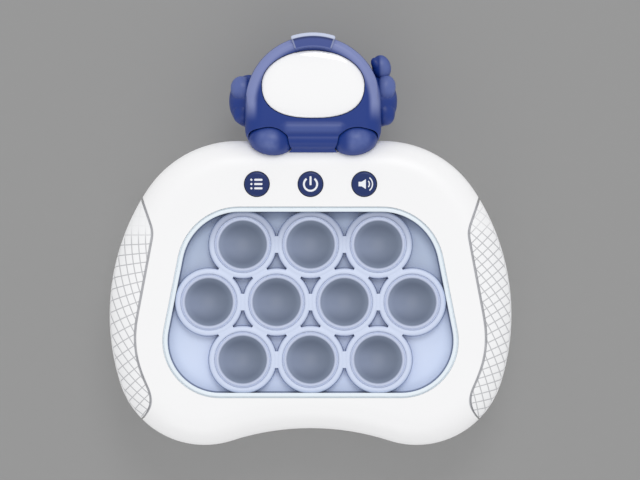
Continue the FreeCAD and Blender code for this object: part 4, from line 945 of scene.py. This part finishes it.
def lattice():
    """Ten joined rings standing on the panel's plate."""
    rings = bmesh.new()
    necks = bmesh.new()
    for x, y in BUBBLES:
        run = Run((RING_BORE, 0, PANEL_LOW), axis=(0, 1, 0))
        run.to(RING_BORE, 0, RING_TOP - RING_INNER_ROUND)
        run.arc((RING_BORE + RING_INNER_ROUND, 0, RING_TOP - RING_INNER_ROUND), 90, 4)
        run.to(RING_OUTER - RING_ROUND, 0, RING_TOP)
        run.arc((RING_OUTER - RING_ROUND, 0, RING_TOP - RING_ROUND), 90, 6)
        run.to(RING_FOOT, 0, PANEL_TOP).to(RING_FOOT, 0, PANEL_LOW).to(RING_BORE, 0, PANEL_LOW)
        merged(rings, lathe(run, RING_SEGMENTS, x, y))
    height = RING_TOP - NECK_DROP - PANEL_LOW
    neck = Matrix.Diagonal((NECK_WIDTH, NECK_LENGTH, height, 1))
    for index, (x, y) in enumerate(BUBBLES):
        for other_x, other_y in BUBBLES[index + 1:]:
            # Only neighbours are joined
            if math.hypot(other_x - x, other_y - y) > PITCH + 1:
                continue
            middle = Matrix.Translation(((x + other_x) / 2, (y + other_y) / 2,
                                         PANEL_LOW + height / 2))
            turn = Matrix.Rotation(math.atan2(other_y - y, other_x - x), 4, "Z")
            bmesh.ops.create_cube(necks, size=1, matrix=middle @ turn @ neck)
    trim = block(window_outline(BEZEL_INNER + RING_TRIM), PANEL_LOW - 1, FACE)
    standing = joined(merged(rings, necks), trim, "INTERSECT", overlapping=True)
    plate = block(window_outline(-PANEL_FLANGE), PANEL_LOW, PANEL_TOP)
    bores = bmesh.new()
    for x, y in BUBBLES:
        add_pin(bores, (x, y, PANEL_TOP), RING_BORE, 6, RING_SEGMENTS)
    return merged(standing, joined(plate, bores, "DIFFERENCE"))


def bubble_key(x, y):
    """A dished key: bowl, rolled rim, ledge, skirt with its flange, and the nub under the bowl."""
    dish = KEY_RADIUS - KEY_RIM
    rim_z = KEY_TOP - KEY_RIM / 2
    bowl = (dish ** 2 + KEY_DISH ** 2) / (2 * KEY_DISH)
    middle = rim_z - KEY_DISH + bowl
    back = bowl + KEY_WALL
    skirt = dish - KEY_SKIRT_INSET
    skirt_turn = math.degrees(math.asin(skirt / back))
    nub_turn = math.degrees(math.asin(KEY_NUB / back))
    ledge_top, ledge_out, ledge_back, ledge_low = KEY_LEDGE_LEVELS
    run = Run((0, 0, rim_z - KEY_DISH), axis=(0, 1, 0))
    run.arc((0, 0, middle), -math.degrees(math.asin(dish / bowl)), 14)
    run.arc((dish + KEY_RIM / 2, 0, rim_z), 180, 10)
    run.to(KEY_RADIUS, 0, ledge_top).to(KEY_LEDGE, 0, ledge_out)
    run.to(KEY_LEDGE, 0, ledge_back).to(KEY_RADIUS, 0, ledge_low)
    run.to(KEY_RADIUS, 0, KEY_FLANGE_TOP).to(KEY_FLANGE, 0, KEY_FLANGE_TOP)
    run.to(KEY_FLANGE, 0, KEY_FLANGE_LOW).to(skirt, 0, KEY_FLANGE_LOW)
    run.to(skirt, 0, middle - math.sqrt(back ** 2 - skirt ** 2))
    run.arc((0, 0, middle), skirt_turn - nub_turn, 8)
    run.to(KEY_NUB, 0, KEY_NUB_LOW).to(0, 0, KEY_NUB_LOW)
    mesh = lathe(run, KEY_SEGMENTS, x, y)
    flat = mesh.loops.layers.uv.new(KEY_UV)
    for face in mesh.faces:
        for corner in face.loops:
            corner[flat].uv = ((corner.vert.co.x - x) / KEY_FLANGE / 2 + 0.5,
                               (corner.vert.co.y - y) / KEY_FLANGE / 2 + 0.5)
    return mesh


# Control buttons and their signs
def button(x):
    """A round cap with a rolled edge, its hidden flange and its stem."""
    run = Run((0, 0, BUTTON_TOP), axis=(0, 1, 0))
    run.to(BUTTON_RADIUS - BUTTON_ROUND, 0, BUTTON_TOP)
    run.arc((BUTTON_RADIUS - BUTTON_ROUND, 0, BUTTON_TOP - BUTTON_ROUND), 90, 8)
    run.to(BUTTON_RADIUS, 0, BUTTON_FLANGE_TOP).to(BUTTON_FLANGE, 0, BUTTON_FLANGE_TOP)
    run.to(BUTTON_FLANGE, 0, BUTTON_FLANGE_LOW).to(BUTTON_STEM, 0, BUTTON_FLANGE_LOW)
    run.to(BUTTON_STEM, 0, BUTTON_STEM_LOW).to(0, 0, BUTTON_STEM_LOW)
    return lathe(run, BUTTON_SEGMENTS, x, BUTTON_Y)


def print_on(mesh, x):
    """Bring a sign's flat outline to its button's top, as a thin raised print."""
    raised = bmesh.ops.extrude_face_region(mesh, geom=mesh.faces[:])
    top = verts_of(raised)
    bmesh.ops.translate(mesh, verts=top, vec=(0, 0, PRINT_DEPTH))
    outward(mesh)
    return moved(mesh, x, BUTTON_Y, BUTTON_TOP - PRINT_SEAT)


# Signs are flat outlines, drawn in millimetres from their button's middle
def bar(x, y, width, height, radius):
    """A rounded rectangle by its middle and its size."""
    corners = [(x - width / 2, y - height / 2, radius), (x + width / 2, y - height / 2, radius),
               (x + width / 2, y + height / 2, radius), (x - width / 2, y + height / 2, radius)]
    mesh = rounded_outline(corners, 5)
    filled(mesh)
    return mesh


def stroke(x, y, radius, start, sweep, width):
    """A bent line of even width: an arc of a circle from a start angle."""
    mesh = bmesh.new()
    turn = math.radians(start)
    ends = [mesh.verts.new((x + r * math.cos(turn), y + r * math.sin(turn), 0))
            for r in (radius - width / 2, radius + width / 2)]
    edge = mesh.edges.new(ends)
    bmesh.ops.spin(mesh, geom=[edge] + ends, cent=(x, y, 0), axis=(0, 0, 1),
                   angle=math.radians(sweep), steps=28)
    return mesh


def menu_sign():
    """Three rows of a dot and a line."""
    rows = bmesh.new()
    for y in (1.8, 0.0, -1.8):
        merged(rows, bar(-2.3, y, 0.9, 0.9, 0.44), bar(0.65, y, 3.5, 0.85, 0.35))
    return rows


def power_sign():
    """An open ring with an upright bar."""
    return merged(stroke(0, -0.05, 2.8, 126, 288, 0.82), bar(0, 1.4, 0.85, 3.8, 0.35))


def volume_sign():
    """A loudspeaker with two waves."""
    horn = rounded_outline([(-2.4, -0.95, 0.1), (-1.1, -0.95, 0.1), (0.7, -2.1, 0.1),
                            (0.7, 2.1, 0.1), (-1.1, 0.95, 0.1), (-2.4, 0.95, 0.1)], 4)
    filled(horn)
    return merged(horn, stroke(0.3, 0, 1.9, -42, 84, 0.5), stroke(0.1, 0, 3.4, -52, 104, 0.5))


# Helmet
def helmet_dome():
    """A dome on straight cheeks, rolled in at the front and at the back."""
    corner_y = HELMET_BASE + HELMET_CORNER
    run = Run((0, DOME_Y + HELMET_HALF, 0)).arc((0, DOME_Y, 0), -90, 30)
    run.to(HELMET_HALF, corner_y, 0).arc((HELMET_HALF - HELMET_CORNER, corner_y, 0), -90, 10)
    run.to(0, HELMET_BASE, 0)
    mesh = rolled_block(run.mirrored(), HELMET_BACK, HELMET_FRONT, HELMET_ROLL, 10,
                        HELMET_BACK_ROLL, 8)
    return moved(mesh, HELMET_X, 0, 0)


def helmet_clay():
    """Dome, rolled rim and chin rolls, as solids that run into each other."""
    clay = helmet_dome()
    rim = []
    for step in range(RIM_STEPS + 1):
        share = step / RIM_STEPS
        turn = math.radians(RIM_START + (RIM_END - RIM_START) * share)
        taper = min(1.0, RIM_END_SHARE + RIM_SWELL[0] * share,
                    RIM_END_SHARE + RIM_SWELL[1] * (1 - share))
        centre = (HELMET_X + RIM_RADIUS * math.cos(turn), DOME_Y + RIM_RADIUS * math.sin(turn),
                  RIM_LEVEL - RIM_END_SINK * (1 - taper))
        rim.append((centre, (math.sin(turn), -math.cos(turn), 0), RIM_THICK * taper))
    merged(clay, hoop(rim))
    for y, z, radius, half in CHIN_ROLLS:
        merged(clay, roller((HELMET_X - half, y, z), (HELMET_X + half, y, z), radius))
    return clay


def eggs(table):
    """The eggs of a table, run into one."""
    clutch = bmesh.new()
    for x, *shape in table:
        clutch = joined(clutch, egg(HELMET_X + x, *shape), "UNION")
    return clutch


def helmet_halves():
    """The moulded helmet, cut to sit over the casing and split into its two shells."""
    head = joined(softened(helmet_clay()), eggs(CREASES), "DIFFERENCE")
    skin = joined(head, eggs(LIMBS), "UNION")
    saddle = rolled_block(casing_outline(-SADDLE_GAP), -SADDLE_GAP, FACE + SADDLE_GAP,
                          FRONT_ROLL + SADDLE_GAP, 12, REAR_ROLL + SADDLE_GAP, 8)
    cut = joined(joined(skin, saddle, "DIFFERENCE"), visor_pocket(), "DIFFERENCE")
    halves = []
    for mesh, operation in ((cut.copy(), "INTERSECT"), (cut, "DIFFERENCE")):
        front = bmesh.new()
        bmesh.ops.create_cube(front, size=HELMET_CUBE, matrix=Matrix.Translation(
            (HELMET_X, VISOR_Y, HELMET_SPLIT + HELMET_CUBE / 2)))
        halves.append(joined(mesh, front, operation))
    return halves


def visor_pocket():
    """An upright block on the visor's outline, from its seat to clear of the helmet."""
    mesh = bmesh.new()
    top = FACE + 20
    shape = (Matrix.Translation((HELMET_X, VISOR_Y, (VISOR_SEAT + top) / 2))
             @ Matrix.Diagonal((VISOR_HALF_WIDTH + VISOR_GAP, VISOR_HALF_HEIGHT + VISOR_GAP, 1, 1)))
    bmesh.ops.create_cone(mesh, cap_ends=True, segments=128, radius1=1, radius2=1,
                          depth=top - VISOR_SEAT, matrix=shape)
    return fuller(mesh)


def fuller(mesh):
    """Push the lower half of the visor's outline out towards its corners."""
    for vert in mesh.verts:
        across = (vert.co.x - HELMET_X) / VISOR_HALF_WIDTH
        down = (VISOR_Y - vert.co.y) / VISOR_HALF_HEIGHT
        span = math.hypot(across, down)
        if down > 0:
            vert.co.x = HELMET_X + VISOR_HALF_WIDTH * math.copysign(
                span * (abs(across) / span) ** VISOR_FULLNESS, across)
            vert.co.y = VISOR_Y - VISOR_HALF_HEIGHT * span * (down / span) ** VISOR_FULLNESS
    return mesh


def visor():
    """A low glossy dome on an upright rim."""
    mesh = fuller(egg(HELMET_X, VISOR_Y, VISOR_RIM,
                      VISOR_HALF_WIDTH, VISOR_HALF_HEIGHT, VISOR_CROWN))
    bmesh.ops.bisect_plane(mesh, geom=mesh.verts[:] + mesh.edges[:] + mesh.faces[:],
                           plane_co=(0, 0, VISOR_RIM), plane_no=(0, 0, 1), clear_inner=True)
    rim = [part for part in mesh.edges if part.is_boundary]
    lowered = bmesh.ops.extrude_edge_only(mesh, edges=rim)
    low = verts_of(lowered)
    bmesh.ops.translate(mesh, verts=low, vec=(0, 0, VISOR_SEAT - VISOR_RIM))
    bmesh.ops.edgeloop_fill(mesh, edges=[edge for edge in mesh.edges if edge.is_boundary])
    outward(mesh)
    return mesh


def crest():
    """The plate over the brow: a bent slab that wraps the rim, with rounded edges."""
    slab = bmesh.new()
    corners = [slab.verts.new((0, y, z)) for y, z in
               ((CREST_INNER, CREST_LOW), (CREST_OUTER, CREST_LOW),
                (CREST_OUTER, CREST_FRONT), (CREST_INNER, CREST_FRONT))]
    section = slab.faces.new(corners)
    bmesh.ops.rotate(slab, verts=slab.verts[:], cent=(0, 0, 0),
                     matrix=Matrix.Rotation(CREST_TURN, 3, "Z"))
    bmesh.ops.spin(slab, geom=[section] + section.edges[:] + section.verts[:], cent=(0, 0, 0),
                   axis=(0, 0, 1), angle=-2 * CREST_TURN, steps=16)
    outward(slab)
    sharp = [edge for edge in slab.edges if edge.is_manifold and edge.calc_face_angle(0) > 1.0]
    bmesh.ops.bevel(slab, geom=sharp, offset=CREST_ROUND, offset_type="OFFSET", affect="EDGES",
                    segments=4, profile=0.5, material=-1)
    return moved(slab, HELMET_X, DOME_Y, 0)


# Finishes in use, by the record's material slots
WHITE_ABS = casing_white()
GRIP_FINISH = {side: grip_finish(f"grip_white_{hand}", side)
               for side, hand in ((-1, "left"), (1, "right"))}
ICE_BEZEL = moulded("bezel_pale", tint(234, 243, 250), 0.3, cloud=0.01)
PERIWINKLE = panel_finish()
NAVY = moulded("button_navy", tint(30, 50, 108), 0.34, cloud=0.05)
HELMET_BLUE = helmet_finish()
GLOSS_WHITE = moulded("visor_white", tint(251, 251, 252), 0.12, coat=0.5, cloud=0.006)
PRINT_WHITE = moulded("print_white", tint(240, 242, 248), 0.5, cloud=0.02)
SILICONE = dished_silicone()
FINISHES = {
    "white_abs": WHITE_ABS,
    "grip_white": GRIP_FINISH[1],
    "bezel_pale": ICE_BEZEL,
    "panel_blue": PERIWINKLE,
    "bubble_silicone": SILICONE,
    "mat_silicone": moulded("mat_silicone", tint(150, 160, 185), 0.6),
    "button_navy": NAVY,
    "helmet_blue": HELMET_BLUE,
    "visor_white": GLOSS_WHITE,
    "circuit_green": board_lacquer(),
    "black_part": moulded("black_part", tint(34, 34, 36), 0.5, cloud=0.2),
    "lamp_clear": moulded("lamp_clear", tint(236, 236, 226), 0.15, coat=0.6),
    "screw_steel": turned_metal("screw_steel", tint(178, 180, 184), 0.32),
    "contact_steel": turned_metal("contact_steel", tint(205, 204, 200), 0.2),
    "cell_wrap": moulded("cell_wrap", tint(58, 62, 70), 0.28, coat=0.4, cloud=0.1),
    "foam_grey": foam(),
    "paper_cone": pressed_paper(),
    "magnet_steel": turned_metal("magnet_steel", tint(120, 120, 124), 0.45),
    "lead_red": moulded("lead_red", tint(190, 34, 30), 0.45, cloud=0.06),
}

for part in frame["record"]["subparts"]:
    node = NODES[part["node"]]
    finish = FINISHES[part["material_slot"]]
    if part["node"] == "left_grip":
        finish = GRIP_FINISH[-1]
    for holder in node.material_slots:
        holder.material = finish.material

# Pieces
piece("bezel", bezel(), "console", ICE_BEZEL, ["window_bezel"])
piece("ring_panel", lattice(), "console", PERIWINKLE, ["bubble_frame"])
for number, (x, y) in enumerate(BUBBLES, start=1):
    piece(f"bubble_{number:02d}_dish", bubble_key(x, y), f"bubble_{number:02d}",
          SILICONE, [f"bubble_key_{number:02d}"])
for name, x, sign in (("menu", -BUTTON_PITCH, menu_sign), ("power", 0.0, power_sign),
                      ("volume", BUTTON_PITCH, volume_sign)):
    piece(f"{name}_cap", button(x), f"{name}_push", NAVY, [f"{name}_button"])
    piece(f"{name}_sign", print_on(sign(), x), f"{name}_push", PRINT_WHITE)
helmet_face, helmet_nape = helmet_halves()
piece("helmet_face", merged(helmet_face, crest()), "console", HELMET_BLUE,
      ["helmet_front"], HELMET_CREASE)
nape_bores = bmesh.new()
for spot in (-JOINT_X, JOINT_X):
    add_pin(nape_bores, (HELMET_X + spot, JOINT_Y, JOINT_Z), JOINT_BORE, JOINT_BORE_LENGTH, 48)
piece("helmet_nape", joined(helmet_nape, nape_bores, "DIFFERENCE"), "console",
      HELMET_BLUE, ["helmet_rear"], HELMET_CREASE)
piece("visor_dome", visor(), "console", GLOSS_WHITE, ["visor"])


# Floor, lamps and camera
def floor_finish():
    """A pale floor that shows as an even mid grey with a light shadow."""
    paint = Paint("floor_grey", roughness=0.9)
    grey = tint(*BACKDROP)
    seen = paint.seen()
    paint.set("Base Color", paint.blend(seen, tint(250, 250, 250), grey))
    glow = paint.node("ShaderNodeEmission", {}, {"Color": grey})
    paint.show("Material Output", seen * BACKDROP_GLOW, Wire(paint, paint.shader.outputs[0]), glow)
    return paint.material


def studio_world():
    """Even light from all round, seen as the backdrop's grey."""
    world = bpy.data.worlds.new("studio")
    world.use_nodes = True
    sheet = Sheet(world.node_tree)
    lit = sheet.node("ShaderNodeBackground", {}, {"Color": (1, 1, 1, 1), "Strength": AMBIENT})
    shown = sheet.node("ShaderNodeBackground", {}, {"Color": tint(*BACKDROP)})
    sheet.show("World Output", sheet.seen(), lit, shown)
    return world


def lamp(name, place, size, power):
    """A disk of light that faces the model's middle."""
    data = bpy.data.lights.new(name, "AREA")
    data.shape = "DISK"
    data.size = size
    data.energy = power
    lit = bpy.data.objects.new(name, data)
    bpy.context.scene.collection.objects.link(lit)
    lit.location = place
    lit.rotation_euler = (-Vector(place)).to_track_quat("-Z", "Y").to_euler()


floor_mesh = bmesh.new()
bmesh.ops.create_grid(floor_mesh, x_segments=1, y_segments=1, size=FLOOR_SIZE,
                      matrix=Matrix.Translation((0, 0, -FLOOR_GAP)))
floor = as_object("floor", floor_mesh)
floor.data.materials.append(floor_finish())
bpy.context.scene.world = studio_world()
lamp("key", *KEY_LAMP)
lamp("fill", *FILL_LAMP)

camera_data = bpy.data.cameras.new("camera")
camera_data.sensor_width = SENSOR_WIDTH
camera_data.lens = SENSOR_WIDTH * CAMERA_HEIGHT / (PHOTO_WIDTH_MM * MM)
camera = bpy.data.objects.new("camera", camera_data)
camera.location = (CAMERA_X * MM, CAMERA_Y * MM, CAMERA_HEIGHT + SCALE_LEVEL)
bpy.context.scene.collection.objects.link(camera)
bpy.context.scene.camera = camera
bpy.context.scene.view_settings.view_transform = "Standard"
